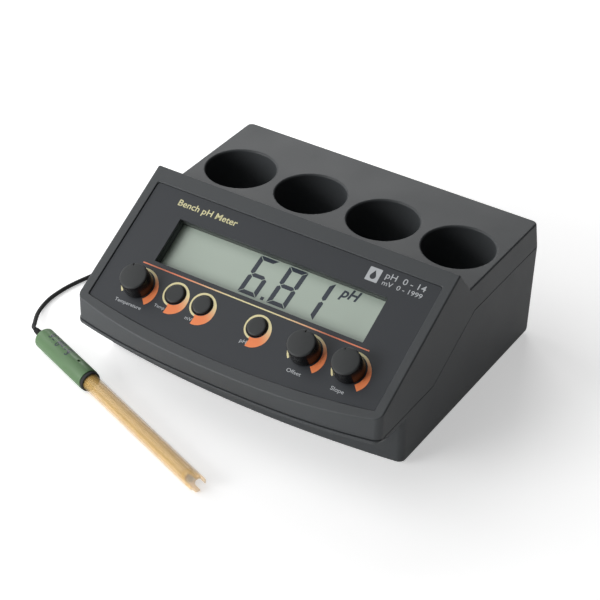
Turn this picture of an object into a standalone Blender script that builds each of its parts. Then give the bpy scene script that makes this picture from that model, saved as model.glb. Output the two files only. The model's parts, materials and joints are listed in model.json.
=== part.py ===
"""A bench pH meter with its plug-in electrode, for Blender 4.5.

Units are metres and +Z is up.  The origin is on the table, under the middle of the meter.  +X is
the meter's right-hand side as its user sees it, and the sloping panel faces the user, towards -Y.
The electrode lies on the table beside the meter, on its cable.
"""

import math

import bmesh
import bpy
from mathutils import Matrix, Vector

# ---------------------------------------------------------------- driving dimensions
GAP = 0.0003  # clearance between touching pieces

# Sides of the round pieces.
WELL_SIDES = 36
LARGE_SIDES = 28
MEDIUM_SIDES = 20
SMALL_SIDES = 14

# The case.  Heights are above its underside, and reaches run along Y from the ridge.
CASE_WIDTH = 0.235
CORNER_RADIUS = 0.0045
FOOT_HEIGHT = 0.0025
RIDGE_HEIGHT = 0.1111
DECK_HEIGHT = 0.0906
NOTCH_REACH = 0.0163
FRONT_REACH = 0.1063
DECK_REACH = 0.1123
BACK_REACH = 0.1174
FRONT_BOW = 0.0122  # how far the front's ends stand behind its middle
PANEL_ANGLE = math.radians(29.74)
COVER_WALL = 0.003
PANEL_WALL = 0.004
OVERCUT = 0.005  # how far a cutter runs past the face that it opens

# The seam between cover and base steps down towards the front.
FRONT_SEAM_HEIGHT = 0.040
BACK_SEAM_HEIGHT = 0.0695
SEAM_STEP_REACH = 0.0246

# The base's front wall leans in under a small lip.
BASE_FRONT_REACH = 0.072
BASE_BOW = 0.0088
BASE_BACK_REACH = 0.1146
LIP_SETBACK = 0.0006
LIP_HEIGHT = 0.0032
LIP_RECESS = 0.0024
BASE_WALL = 0.003
BASE_BACK_WALL = 0.005
BASE_FLOOR = 0.003

# The four wells in the deck.
WELL_COUNT = 4
WELL_RADIUS = 0.025
WELL_PITCH = 0.05805
WELL_REACH = 0.0551
WELL_DEPTH = 0.045
WELL_WALL = 0.0022
WELL_RIM = 0.0015
WELL_FILLET = 0.003

# The panel: distances run down the slope from the ridge, depths run in from the slope's face.
OVERLAY_WIDTH = 0.2208
OVERLAY_TOP = 0.01175
OVERLAY_BOTTOM = 0.1133
OVERLAY_BOW = 0.0093
OVERLAY_DEPTH = 0.00094
OVERLAY_THICKNESS = 0.0005
WINDOW_WIDTH = 0.1615
WINDOW_TOP = 0.0311
WINDOW_BOTTOM = 0.0655
DISPLAY_DEPTH = 0.0090  # of the display's face
DISPLAY_THICKNESS = 0.0028
DISPLAY_BORDER = 0.0030
FRAME_RIM = 0.0060
STRIP_WIDTH = 0.0026
BOARD_DEPTH = 0.0170
BOARD_THICKNESS = 0.0016
BOARD_WIDTH = 0.190
BOARD_TOP = 0.020
BOARD_BOTTOM = 0.102

# Controls, by name: place across the panel, place down the panel and, for a knob, its pointer.
KNOBS = {
    "temperature": (-0.0813, 0.0850, 118.0),
    "offset": (0.0495, 0.0850, 97.0),
    "slope": (0.0823, 0.0850, 119.0),
}
BUTTONS = {
    "temp": (-0.0535, 0.0822),
    "mv": (-0.0320, 0.0822),
    "ph": (0.0108, 0.0822),
}
KNOB_BASE_RADIUS = 0.0105
KNOB_TOP_RADIUS = 0.0098
KNOB_HEIGHT = 0.0120
KNOB_LIFT = 0.0006  # above the overlay
KNOB_SHOULDER = 0.0014
KNOB_DOME = 0.0005
KNOB_HOLLOW_RADIUS = 0.0082
KNOB_HOLLOW_DEPTH = 0.0040
KNOB_NOTCH_WIDTH = 0.0010
KNOB_NOTCH_LENGTH = 0.0026
SHAFT_RADIUS = 0.0030
SHAFT_IN_KNOB = 0.0085
BUSHING_RADIUS = 0.0046
POT_RADIUS = 0.0080
POT_THICKNESS = 0.0070
NUT_RADIUS = 0.0072
NUT_THICKNESS = 0.0022
BUTTON_RADIUS = 0.0069
BUTTON_HEIGHT = 0.0019
BUTTON_ROUND = 0.0008
BUTTON_SKIRT = 0.0042
BUTTON_TRAVEL = 0.0015
PLUNGER_RADIUS = 0.0018
SWITCH_SIZE = 0.0120
SWITCH_THICKNESS = 0.0050

# Feet, pillars and screws.
FOOT_RADIUS = 0.0080
FOOT_CHAMFER = 0.0008
FRONT_PILLAR = (0.1045, -0.0500)  # across, and from the ridge
REAR_PILLAR = (0.1065, 0.1015)
PILLAR_RADIUS = 0.0046
PILLAR_HEIGHT = 0.0300
SCREW_RADIUS = 0.0015
SCREW_HEAD_RADIUS = 0.0029
SCREW_HEAD_HEIGHT = 0.0020
SCREW_CHAMFER = 0.0006
SCREW_SINK = 0.0012
SCREW_BITE = 0.0080

# The boards in the base.
MAIN_BOARD = (0.130, 0.118)
MAIN_BOARD_REACH = 0.042  # of its middle
MAIN_BOARD_LIFT = 0.0100
STANDOFF_RADIUS = 0.0030
SHIELD_SIZE = (0.040, 0.030, 0.012)
SHIELD_PLACE = (-0.040, 0.080)
SHIELD_WALL = 0.0006
RIBBON_WIDTH = 0.026
RIBBON_SLACK = 0.6  # how far the loop swings out, as a share of its reach
RIBBON_THICKNESS = 0.0012

# The rear connections stand on a flat sunk into the back wall.
FLAT_REACH = 0.1135
FLAT_SIZE = (0.150, 0.036)
FLAT_CENTRE = (-0.015, 0.031)
BNC_PLACE = (-0.070, 0.031)
INLET_PLACE = (-0.020, 0.031)
SWITCH_PLACE = (0.035, 0.031)
BNC_THREAD_RADIUS = 0.0062
BNC_FLANGE_RADIUS = 0.0080
BNC_FLANGE_THICKNESS = 0.0020
BNC_NUT_RADIUS = 0.0085
BNC_NUT_THICKNESS = 0.0025
BNC_BARREL_RADIUS = 0.0048
BNC_BARREL_BORE = 0.0041
BNC_BARREL_LENGTH = 0.0120
BNC_PIN_RADIUS = 0.0011
LUG_RADIUS = 0.0009
LUG_REACH = 0.0056
PLUG_NOSE_RADIUS = 0.0037
PLUG_NOSE_BORE = 0.0016
PLUG_NOSE_LENGTH = 0.0070
PLUG_SHOULDER_RADIUS = 0.0056
PLUG_SHOULDER_LENGTH = 0.0020
PLUG_BODY_RADIUS = 0.0049
PLUG_BODY_LENGTH = 0.0110
COLLAR_RADIUS = 0.0072
COLLAR_LIP = 0.0020
INLET_SIZE = (0.0094, 0.0140, 0.0110)
INLET_BORE = 0.0032
INLET_PIN = 0.0010
INLET_BORE_DEPTH = 0.0095
POWER_FRAME = (0.0150, 0.0015, 0.0210)
POWER_BODY = (0.0126, 0.0120, 0.0186)
ROCKER_SIZE = (0.0098, 0.0150)
ROCKER_RISE = 0.0016
ROCKER_THICKNESS = 0.0040
ROCKER_TAPER = 0.8  # the inner face's height, as a share of the outer one's
ROCKER_TILT = math.radians(9.0)

# The electrode, along its own axis from the back of its cap, and its place on the table.
ELECTRODE_START = (-0.1520, -0.1020)
ELECTRODE_TURN = math.radians(-20.1)
ELECTRODE_LENGTH = 0.187
CAP_LENGTH = 0.058
CAP_RADIUS = 0.0076
CAP_ROUNDING = 0.0015
CAP_SOCKET = 0.012
SEAL_LENGTH = 0.0026
SEAL_RADIUS = 0.0073
BODY_RADIUS = 0.0060
BODY_BORE = 0.0048
GUARD_SLOT_LENGTH = 0.0085
GUARD_SLOT_WIDTH = 0.0050
STEM_RADIUS = 0.0030
BULB_RADIUS = 0.0041
BULB_SETBACK = 0.0060
WIRE_RADIUS = 0.0004
RELIEF_LENGTH = 0.0100
RELIEF_RADII = (0.0027, 0.0020)

# The cable: one metre in all, with the spare length in a coil of six turns behind the meter.
CABLE_RADIUS = 0.0015
BOOT_LENGTH = 0.0140
BOOT_RADII = (0.0042, 0.0021)
COIL_CENTRE = (-0.0150, 0.1395)
COIL_TURN_RADIUS = 0.0165  # at the middle of its turns
COIL_LAYERS = (3, 2)  # turns side by side, and turns on each other
COIL_LIFT = 0.0010  # the tie passes under the coil
COIL_ROUNDING = 0.6  # the coil's chamfer, as a share of the cable's radius
TIE_WIDTH = 0.0045
TIE_THICKNESS = 0.0006
TIE_TURN = math.radians(-40.0)

# Where the cable lies between the coil and the electrode, and between the plug and the coil.
RUN_ROUTE = [
    (-0.1622, -0.0983, 0.0085),
    (-0.1662, -0.0957, 0.0077),
    (-0.1693, -0.0910, 0.0063),
    (-0.1730, -0.0856, 0.0048),
    (-0.1785, -0.0763, 0.0028),
    (-0.1820, -0.0665, 0.0018),
    (-0.1836, -0.0560, 0.0016),
    (-0.1832, -0.0455, 0.0016),
    (-0.1816, -0.0350, 0.0016),
    (-0.1785, -0.0235, 0.0016),
    (-0.1735, -0.0070, 0.0016),
    (-0.1670, 0.0160, 0.0016),
    (-0.1600, 0.0400, 0.0016),
    (-0.1520, 0.0640, 0.0016),
    (-0.1410, 0.0860, 0.0016),
    (-0.1260, 0.1040, 0.0016),
    (-0.1060, 0.1145, 0.0016),
    (-0.0830, 0.1180, 0.0016),
    (-0.0580, 0.1180, 0.0017),
    (-0.0350, 0.1170, 0.0021),
    (-0.0150, 0.1167, 0.0026),
]
TAIL_ROUTE = [
    (-0.0700, 0.1451, 0.0335),
    (-0.0699, 0.1510, 0.0331),
    (-0.0690, 0.1568, 0.0308),
    (-0.0668, 0.1612, 0.0262),
    (-0.0632, 0.1636, 0.0204),
    (-0.0582, 0.1646, 0.0146),
    (-0.0520, 0.1644, 0.0100),
    (-0.0445, 0.1636, 0.0072),
    (-0.0355, 0.1628, 0.0060),
    (-0.0255, 0.1624, 0.0056),
    (-0.0150, 0.1623, 0.0056),
]

# ---------------------------------------------------------------- worked-out places
HALF_WIDTH = CASE_WIDTH / 2
BNC_REACH = FLAT_REACH + BNC_NUT_THICKNESS + GAP + BNC_BARREL_LENGTH
RIDGE_Y = (FRONT_REACH - BNC_REACH) / 2  # the middle of the meter's depth is at y = 0
BOTTOM_Z = FOOT_HEIGHT
RIDGE_Z = BOTTOM_Z + RIDGE_HEIGHT
DECK_Z = BOTTOM_Z + DECK_HEIGHT
FRONT_SEAM_Z = BOTTOM_Z + FRONT_SEAM_HEIGHT
BACK_SEAM_Z = BOTTOM_Z + BACK_SEAM_HEIGHT
SEAM_STEP_Y = RIDGE_Y + SEAM_STEP_REACH
SEAM_FOOT_Y = SEAM_STEP_Y - (BACK_SEAM_Z - FRONT_SEAM_Z) / math.tan(PANEL_ANGLE)
FLAT_Y = RIDGE_Y + FLAT_REACH
RECESS_DEPTH = OVERLAY_DEPTH + OVERLAY_THICKNESS + GAP
BUTTON_HOLE_RADIUS = BUTTON_RADIUS + GAP
NUT_HOLE_RADIUS = NUT_RADIUS + GAP


# ---------------------------------------------------------------- tools of the trade
def clear_scene():
    for obj in list(bpy.data.objects):
        bpy.data.objects.remove(obj)


def finish(name, colour, roughness, metallic=0.0, alpha=1.0):
    """A Principled material of that name, made once."""
    material = bpy.data.materials.get(name)
    if material is None:
        material = bpy.data.materials.new(name)
        material.use_nodes = True
        shader = material.node_tree.nodes["Principled BSDF"]
        shader.inputs["Base Color"].default_value = (*colour, 1.0)
        shader.inputs["Roughness"].default_value = roughness
        shader.inputs["Metallic"].default_value = metallic
        shader.inputs["Alpha"].default_value = alpha
    return material


def case_plastic():
    return finish("case_plastic", (0.075, 0.080, 0.085), 0.50)


def dark_plastic():
    return finish("dark_plastic", (0.030, 0.033, 0.035), 0.45)


def black_plastic():
    return finish("black_plastic", (0.012, 0.012, 0.013), 0.40)


def black_rubber():
    return finish("black_rubber", (0.015, 0.015, 0.016), 0.75)


def nickel():
    return finish("nickel", (0.72, 0.70, 0.66), 0.25, 1.0)


def steel():
    return finish("zinc_steel", (0.60, 0.61, 0.62), 0.35, 1.0)


def board_green():
    return finish("board_laminate", (0.020, 0.150, 0.060), 0.45)


def add_object(name, mesh, material, parent=None):
    obj = bpy.data.objects.new(name, mesh)
    bpy.context.collection.objects.link(obj)
    if material:
        mesh.materials.append(material)
    obj.parent = parent
    return obj


def solid(name, bm, material, parent=None, smooth_angle=None):
    """The bmesh as an object whose faces point out."""
    bmesh.ops.recalc_face_normals(bm, faces=bm.faces)
    mesh = bpy.data.meshes.new(name)
    bm.to_mesh(mesh)
    bm.free()
    if smooth_angle:
        mesh.shade_smooth()
        mesh.set_sharp_from_angle(angle=math.radians(smooth_angle))
    return add_object(name, mesh, material, parent)


def as_cutter(obj):
    obj.hide_render = True
    obj.display_type = "WIRE"
    return obj


def boolean(target, tool, operation="DIFFERENCE"):
    as_cutter(tool)
    modifier = target.modifiers.new(tool.name, "BOOLEAN")
    modifier.operation = operation
    modifier.solver = "EXACT"
    modifier.object = tool


def loft(sections):
    """A closed mesh through sections with equally many points, flat at both ends."""
    bm = bmesh.new()
    rings = [[bm.verts.new(point) for point in section] for section in sections]
    for ring, following in zip(rings, rings[1:]):
        for i in range(len(ring)):
            j = (i + 1) % len(ring)
            bm.faces.new((ring[i], ring[j], following[j], following[i]))
    bm.faces.new(rings[0])
    bm.faces.new(rings[-1])
    return bm


def prism(outline, low, high):
    """The (x, y) outline carried from z = low to z = high."""
    return loft([[(x, y, z) for x, y in outline] for z in (low, high)])


def block(size, centre):
    bm = bmesh.new()
    bmesh.ops.create_cube(bm, size=1.0)
    bmesh.ops.scale(bm, vec=size, verts=bm.verts)
    bmesh.ops.translate(bm, vec=centre, verts=bm.verts)
    return bm


def turned(profile, segments=LARGE_SIDES):
    """A (radius, height) profile turned about Z: open at the axis ends, or a closed ring."""
    bm = bmesh.new()
    columns = []
    poles = {}
    for step in range(segments):
        angle = 2 * math.pi * step / segments
        column = []
        for index, (radius, height) in enumerate(profile):
            if radius > 0:
                spot = (radius * math.cos(angle), radius * math.sin(angle), height)
                column.append(bm.verts.new(spot))
            else:
                if index not in poles:
                    poles[index] = bm.verts.new((0, 0, height))
                column.append(poles[index])
        columns.append(column)
    is_ring = not poles
    count = len(profile)
    for step, column in enumerate(columns):
        following = columns[(step + 1) % segments]
        for i in range(count if is_ring else count - 1):
            j = (i + 1) % count
            corners = []
            for vert in (column[i], following[i], following[j], column[j]):
                if vert not in corners:
                    corners.append(vert)
            bm.faces.new(corners)
    return bm


def disc(radius, low, high):
    """The profile of a plain cylinder."""
    return [(0, low), (radius, low), (radius, high), (0, high)]


def tube(outer, inner, low, high):
    """The profile of a plain ring."""
    return [(inner, low), (outer, low), (outer, high), (inner, high)]


def arc(centre, radius, first, last, steps):
    """Points of an arc between two angles, in degrees."""
    points = []
    for step in range(steps + 1):
        angle = math.radians(first + (last - first) * step / steps)
        points.append((centre[0] + radius * math.cos(angle), centre[1] + radius * math.sin(angle)))
    return points


def rectangle(width, height, centre=(0.0, 0.0)):
    x, y = centre
    return [
        (x - width / 2, y - height / 2),
        (x + width / 2, y - height / 2),
        (x + width / 2, y + height / 2),
        (x - width / 2, y + height / 2),
    ]


def moved(bm, matrix):
    bmesh.ops.transform(bm, matrix=matrix, verts=bm.verts)
    return bm


def join(parts):
    """Several bmeshes in one, for a cutter with several separate bodies."""
    whole = bmesh.new()
    for part in parts:
        mesh = bpy.data.meshes.new("joined")
        bmesh.ops.recalc_face_normals(part, faces=part.faces)
        part.to_mesh(mesh)
        part.free()
        whole.from_mesh(mesh)
        bpy.data.meshes.remove(mesh)
    return whole


def group(name, parts):
    """A cutter made of several separate bodies, each facing out."""
    mesh = bpy.data.meshes.new(name)
    whole = join(parts)
    whole.to_mesh(mesh)
    whole.free()
    return add_object(name, mesh, None)


def frame(name, place, turn=(0.0, 0.0, 0.0)):
    """An empty that other pieces are placed by."""
    empty = bpy.data.objects.new(name, None)
    empty.location = place
    empty.rotation_euler = turn
    bpy.context.collection.objects.link(empty)
    return empty


# ---------------------------------------------------------------- the case's shape
def corner(x, half, radius):
    """How far a rounded upright corner draws a wall in at x."""
    beyond = min(max(0.0, abs(x) - (half - radius)), radius)
    return radius - math.sqrt(radius * radius - beyond * beyond)


def stations(half, radius, corner_steps=3, middle_steps=10):
    """Places across the case for its sections, closer together round the corners."""
    straight = half - radius
    middle = [straight * (2 * i / middle_steps - 1) for i in range(middle_steps + 1)]
    turns = [math.pi / 2 * (i + 1) / corner_steps for i in range(corner_steps)]
    right = [straight + radius * math.sin(angle) for angle in turns]
    return [-x for x in reversed(right)] + middle + right


def slope_z(y):
    return RIDGE_Z + (y - RIDGE_Y) * math.tan(PANEL_ANGLE)


def front_y(x):
    return RIDGE_Y - FRONT_REACH + FRONT_BOW * (x / HALF_WIDTH) ** 2


def cover_outline(x, draw):
    """The cover's section at x, as (y, z), with its corners drawn in."""
    front = front_y(x) + draw
    return [
        (front, FRONT_SEAM_Z),
        (front, slope_z(front)),
        (RIDGE_Y, RIDGE_Z),
        (RIDGE_Y + NOTCH_REACH, DECK_Z),
        (RIDGE_Y + DECK_REACH - draw, DECK_Z),
        (RIDGE_Y + BACK_REACH - draw, BACK_SEAM_Z),
        (SEAM_STEP_Y, BACK_SEAM_Z),
        (SEAM_FOOT_Y, FRONT_SEAM_Z),
    ]


def base_outline(x, draw):
    """The base's section at x without its lip, as (y, z)."""
    foot = RIDGE_Y - BASE_FRONT_REACH + BASE_BOW * (x / HALF_WIDTH) ** 2 + draw
    return [
        (foot, BOTTOM_Z),
        (foot, FRONT_SEAM_Z - GAP),
        (SEAM_FOOT_Y, FRONT_SEAM_Z - GAP),
        (SEAM_STEP_Y, BACK_SEAM_Z - GAP),
        (RIDGE_Y + BACK_REACH - draw, BACK_SEAM_Z - GAP),
        (RIDGE_Y + BASE_BACK_REACH - draw, BOTTOM_Z),
    ]


def base_outline_with_lip(x, draw):
    """The same with the shelf that runs forward under the nose and ends in the lip."""
    points = base_outline(x, draw)
    lip_y = front_y(x) + LIP_SETBACK + draw
    under = FRONT_SEAM_Z - GAP - LIP_HEIGHT
    shelf = [(points[0][0], under), (lip_y + LIP_RECESS, under)]
    lip = [(lip_y, under + LIP_RECESS / 2), (lip_y, points[1][1])]
    return points[:1] + shelf + lip + points[2:]


def inset(outline, distances):
    """A (y, z) outline with each edge moved in by its own distance."""
    count = len(outline)
    area = sum(
        outline[i][0] * outline[(i + 1) % count][1] - outline[(i + 1) % count][0] * outline[i][1]
        for i in range(count)
    )
    side = 1 if area > 0 else -1
    lines = []
    for i, distance in enumerate(distances):
        start = Vector(outline[i])
        along = (Vector(outline[(i + 1) % count]) - start).normalized()
        inward = Vector((-along.y, along.x)) * side
        lines.append((start + inward * distance, along))
    points = []
    for i in range(count):
        (here, along), (there, towards) = lines[i - 1], lines[i]
        cross = along.x * towards.y - along.y * towards.x
        offset = there - here
        reach = (offset.x * towards.y - offset.y * towards.x) / cross
        points.append(tuple(here + along * reach))
    return points


def case_body(outline, half, radius, distances=None):
    """The case's sections across X, each edge moved in by its distance."""
    sections = []
    for x in stations(half, radius):
        section = outline(x, corner(x, half, radius))
        if distances:
            section = inset(section, distances)
        sections.append([(x, y, z) for y, z in section])
    return loft(sections)


def well_places():
    first = -(WELL_COUNT - 1) / 2
    return [((first + i) * WELL_PITCH, RIDGE_Y + WELL_REACH) for i in range(WELL_COUNT)]


def pillar_places():
    places = {}
    for row, (across, reach) in (("front", FRONT_PILLAR), ("rear", REAR_PILLAR)):
        places[row + "_left"] = (-across, RIDGE_Y + reach)
        places[row + "_right"] = (across, RIDGE_Y + reach)
    return places


def overlay_outline(margin=0.0):
    """The panel overlay's outline in the panel's own frame, with its bowed lower edge."""
    half = OVERLAY_WIDTH / 2
    steps = 10
    points = [(half + margin, margin - OVERLAY_TOP), (-half - margin, margin - OVERLAY_TOP)]
    for i in range(steps + 1):
        share = 2 * i / steps - 1
        down = OVERLAY_BOTTOM - OVERLAY_BOW * share * share
        points.append((share * (half + margin), -down - margin))
    return points


def window_centre():
    return (0.0, -(WINDOW_TOP + WINDOW_BOTTOM) / 2)


def window_height():
    return WINDOW_BOTTOM - WINDOW_TOP


# ---------------------------------------------------------------- the housing
def add_top_cover(panel):
    inner_radius = max(CORNER_RADIUS - COVER_WALL, CORNER_RADIUS / 4)
    opened = -OVERCUT
    walls = [COVER_WALL, PANEL_WALL, COVER_WALL, COVER_WALL, COVER_WALL, opened, opened, opened]
    cover = solid(
        "top_cover", case_body(cover_outline, HALF_WIDTH, CORNER_RADIUS), case_plastic(), None, 25
    )
    hollow = case_body(cover_outline, HALF_WIDTH - COVER_WALL, inner_radius, walls)
    boolean(cover, solid("cut_cover_hollow", hollow, None))

    cup_top = DECK_Z - COVER_WALL / 2
    cup_floor = DECK_Z - WELL_DEPTH - WELL_WALL
    cups = []
    for x, y in well_places():
        cup = turned(disc(WELL_RADIUS + WELL_WALL, cup_floor, cup_top), WELL_SIDES)
        cups.append(moved(cup, Matrix.Translation((x, y, 0))))
    for x, y in pillar_places().values():
        roof = DECK_Z - COVER_WALL / 2
        if y < RIDGE_Y:
            roof = slope_z(y) - PANEL_WALL
        boss = turned(disc(PILLAR_RADIUS, BOTTOM_Z + PILLAR_HEIGHT + GAP, roof), SMALL_SIDES)
        cups.append(moved(boss, Matrix.Translation((x, y, 0))))
    boolean(cover, group("add_cups_and_bosses", cups), "UNION")

    floor = DECK_Z - WELL_DEPTH
    fillet_centre = (WELL_RADIUS - WELL_FILLET, floor + WELL_FILLET)
    profile = [(0, floor)] + arc(fillet_centre, WELL_FILLET, -90, 0, 2)
    profile += [(WELL_RADIUS, DECK_Z - WELL_RIM), (WELL_RADIUS + WELL_RIM, DECK_Z)]
    profile += [(WELL_RADIUS + WELL_RIM, DECK_Z + OVERCUT), (0, DECK_Z + OVERCUT)]
    cuts = []
    for x, y in well_places():
        cuts.append(moved(turned(profile, WELL_SIDES), Matrix.Translation((x, y, 0))))
    for x, y in pillar_places().values():
        low = BOTTOM_Z + PILLAR_HEIGHT
        hole = turned(disc(SCREW_RADIUS + GAP, low - OVERCUT, low + SCREW_BITE + GAP), SMALL_SIDES)
        cuts.append(moved(hole, Matrix.Translation((x, y, 0))))
    boolean(cover, group("cut_wells_and_pilot_holes", cuts))

    recess = prism(overlay_outline(GAP), -RECESS_DEPTH, OVERCUT)
    boolean(cover, solid("cut_panel_recess", recess, None, panel))
    inside = -PANEL_WALL - OVERCUT
    window = prism(
        rectangle(WINDOW_WIDTH + 2 * GAP, window_height() + 2 * GAP, window_centre()), inside, 0
    )
    holes = [window]
    for x, down in BUTTONS.values():
        hole = turned(disc(BUTTON_HOLE_RADIUS, inside, 0), MEDIUM_SIDES)
        holes.append(moved(hole, Matrix.Translation((x, -down, 0))))
    for x, down, _ in KNOBS.values():
        hole = turned(disc(BUSHING_RADIUS + GAP, inside, 0), MEDIUM_SIDES)
        holes.append(moved(hole, Matrix.Translation((x, -down, 0))))
    panel_holes = group("cut_panel_holes", holes)
    panel_holes.parent = panel
    boolean(cover, panel_holes)


def add_base_tub():
    inner_radius = max(CORNER_RADIUS - BASE_WALL, CORNER_RADIUS / 4)
    opened = -OVERCUT
    walls = [BASE_WALL, opened, opened, opened, BASE_BACK_WALL, BASE_FLOOR]
    base = solid(
        "base_tub",
        case_body(base_outline_with_lip, HALF_WIDTH, CORNER_RADIUS),
        case_plastic(),
        None,
        25,
    )
    hollow = case_body(base_outline, HALF_WIDTH - BASE_WALL, inner_radius, walls)
    boolean(base, solid("cut_base_hollow", hollow, None))

    pillars = []
    floor = BOTTOM_Z + BASE_FLOOR / 2
    for x, y in pillar_places().values():
        pillar = turned(disc(PILLAR_RADIUS, floor, BOTTOM_Z + PILLAR_HEIGHT), SMALL_SIDES)
        pillars.append(moved(pillar, Matrix.Translation((x, y, 0))))
    for x, y in standoff_places():
        standoff = turned(disc(STANDOFF_RADIUS, floor, BOTTOM_Z + MAIN_BOARD_LIFT - GAP), SMALL_SIDES)
        pillars.append(moved(standoff, Matrix.Translation((x, y, 0))))
    boolean(base, group("add_pillars", pillars), "UNION")

    cuts = []
    for x, y in pillar_places().values():
        shank = SCREW_RADIUS + GAP
        head = SCREW_HEAD_RADIUS + GAP
        seat = BOTTOM_Z + SCREW_SINK + SCREW_HEAD_HEIGHT + GAP
        profile = [(0, BOTTOM_Z - OVERCUT), (head, BOTTOM_Z - OVERCUT), (head, seat)]
        top = BOTTOM_Z + PILLAR_HEIGHT + OVERCUT
        profile += [(shank, seat), (shank, top), (0, top)]
        cuts.append(moved(turned(profile, SMALL_SIDES), Matrix.Translation((x, y, 0))))
    boolean(base, group("cut_screw_holes", cuts))

    width, height = FLAT_SIZE
    x, z = FLAT_CENTRE
    depth = BASE_BACK_WALL + OVERCUT
    flat = block((width, depth, height), (x, FLAT_Y + depth / 2, BOTTOM_Z + z))
    boolean(base, solid("cut_rear_flat", flat, None))
    boolean(base, group("cut_rear_holes", rear_holes()))


def rear_holes():
    """The holes through the rear flat for the socket, the inlet and the power switch."""
    length = 2 * (BASE_BACK_WALL + OVERCUT)
    x, z = BNC_PLACE
    round_hole = turned(disc(BNC_THREAD_RADIUS + GAP, -length / 2, length / 2))
    holes = [moved(round_hole, rear_frame(x, z))]
    x, z = INLET_PLACE
    size = (INLET_SIZE[0] + 2 * GAP, length, INLET_SIZE[2] + 2 * GAP)
    holes.append(block(size, (x, FLAT_Y, BOTTOM_Z + z)))
    x, z = SWITCH_PLACE
    size = (POWER_BODY[0] + 2 * GAP, length, POWER_BODY[2] + 2 * GAP)
    holes.append(block(size, (x, FLAT_Y, BOTTOM_Z + z)))
    return holes


def rear_frame(x, z):
    """Turns local +Z to run backwards out of the rear flat at that place."""
    return Matrix.Translation((x, FLAT_Y, BOTTOM_Z + z)) @ Matrix.Rotation(-math.pi / 2, 4, "X")


def standoff_places():
    width, depth = MAIN_BOARD
    margin = 2 * STANDOFF_RADIUS
    middle = RIDGE_Y + MAIN_BOARD_REACH
    return [
        (side * (width / 2 - margin), middle + end * (depth / 2 - margin))
        for side in (-1, 1)
        for end in (-1, 1)
    ]


def add_feet_and_screws():
    foot_profile = [(0, 0), (FOOT_RADIUS - FOOT_CHAMFER, 0), (FOOT_RADIUS, FOOT_CHAMFER)]
    foot_profile += [(FOOT_RADIUS, FOOT_HEIGHT - GAP), (0, FOOT_HEIGHT - GAP)]
    inset_from_pillar = PILLAR_RADIUS + FOOT_RADIUS
    for place, (x, y) in pillar_places().items():
        inward = inset_from_pillar if x < 0 else -inset_from_pillar
        foot = solid("foot_" + place, turned(foot_profile, MEDIUM_SIDES), black_rubber(), None, 30)
        foot.location = (x + inward, y, 0)
        head = SCREW_HEAD_RADIUS
        low = BOTTOM_Z + SCREW_SINK
        seat = low + SCREW_HEAD_HEIGHT
        tip = BOTTOM_Z + PILLAR_HEIGHT + SCREW_BITE - GAP
        profile = [(0, low), (head - SCREW_CHAMFER, low), (head, low + SCREW_CHAMFER)]
        profile += [(head, seat), (SCREW_RADIUS, seat), (SCREW_RADIUS, tip - SCREW_RADIUS), (0, tip)]
        screw = solid("case_screw_" + place, turned(profile, SMALL_SIDES), steel(), None, 30)
        screw.location = (x, y, 0)


# ---------------------------------------------------------------- the sloping panel
def add_overlay_and_display(panel):
    face = -OVERLAY_DEPTH
    overlay = solid(
        "panel_overlay",
        prism(overlay_outline(), face - OVERLAY_THICKNESS, face),
        dark_plastic(),
        panel,
    )
    low, high = face - OVERLAY_THICKNESS - OVERCUT, face + OVERCUT
    window = prism(rectangle(WINDOW_WIDTH, window_height(), window_centre()), low, high)
    holes = [window]
    for x, down in BUTTONS.values():
        hole = turned(disc(BUTTON_HOLE_RADIUS, low, high), MEDIUM_SIDES)
        holes.append(moved(hole, Matrix.Translation((x, -down, 0))))
    for x, down, _ in KNOBS.values():
        hole = turned(disc(NUT_HOLE_RADIUS, low, high), MEDIUM_SIDES)
        holes.append(moved(hole, Matrix.Translation((x, -down, 0))))
    cutter = group("cut_overlay_holes", holes)
    cutter.parent = panel
    boolean(overlay, cutter)

    centre = window_centre()
    frame_top = -PANEL_WALL - GAP
    display_low = -DISPLAY_DEPTH - DISPLAY_THICKNESS
    outer = rectangle(WINDOW_WIDTH + 2 * FRAME_RIM, window_height() + 2 * FRAME_RIM, centre)
    surround = solid(
        "display_frame", prism(outer, display_low - GAP, frame_top), dark_plastic(), panel
    )
    opening = prism(
        rectangle(WINDOW_WIDTH, window_height(), centre), display_low - OVERCUT, frame_top + OVERCUT
    )
    boolean(surround, solid("cut_frame_window", opening, None, panel))
    glass_width = WINDOW_WIDTH + 2 * DISPLAY_BORDER
    glass_height = window_height() + 2 * DISPLAY_BORDER
    seat = rectangle(glass_width + 2 * GAP, glass_height + 2 * GAP, centre)
    rebate = prism(seat, display_low - OVERCUT, GAP - DISPLAY_DEPTH)
    boolean(surround, solid("cut_frame_rebate", rebate, None, panel))
    glass = prism(rectangle(glass_width, glass_height, centre), display_low, -DISPLAY_DEPTH)
    solid("display_glass", glass, finish("display_grey", (0.42, 0.47, 0.42), 0.25), panel)

    board_face = -BOARD_DEPTH
    for side, place in (("upper", 1), ("lower", -1)):
        offset = place * (glass_height / 2 - STRIP_WIDTH)
        strip = prism(
            rectangle(WINDOW_WIDTH, STRIP_WIDTH, (centre[0], centre[1] + offset)),
            board_face + GAP,
            display_low - GAP,
        )
        grey = finish("strip_silicone", (0.55, 0.56, 0.58), 0.60)
        solid("display_contact_strip_" + side, strip, grey, panel)

    middle = -(BOARD_TOP + BOARD_BOTTOM) / 2
    outline = rectangle(BOARD_WIDTH, BOARD_BOTTOM - BOARD_TOP, (0.0, middle))
    board = prism(outline, board_face - BOARD_THICKNESS, board_face)
    solid("display_board", board, board_green(), panel)


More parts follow.
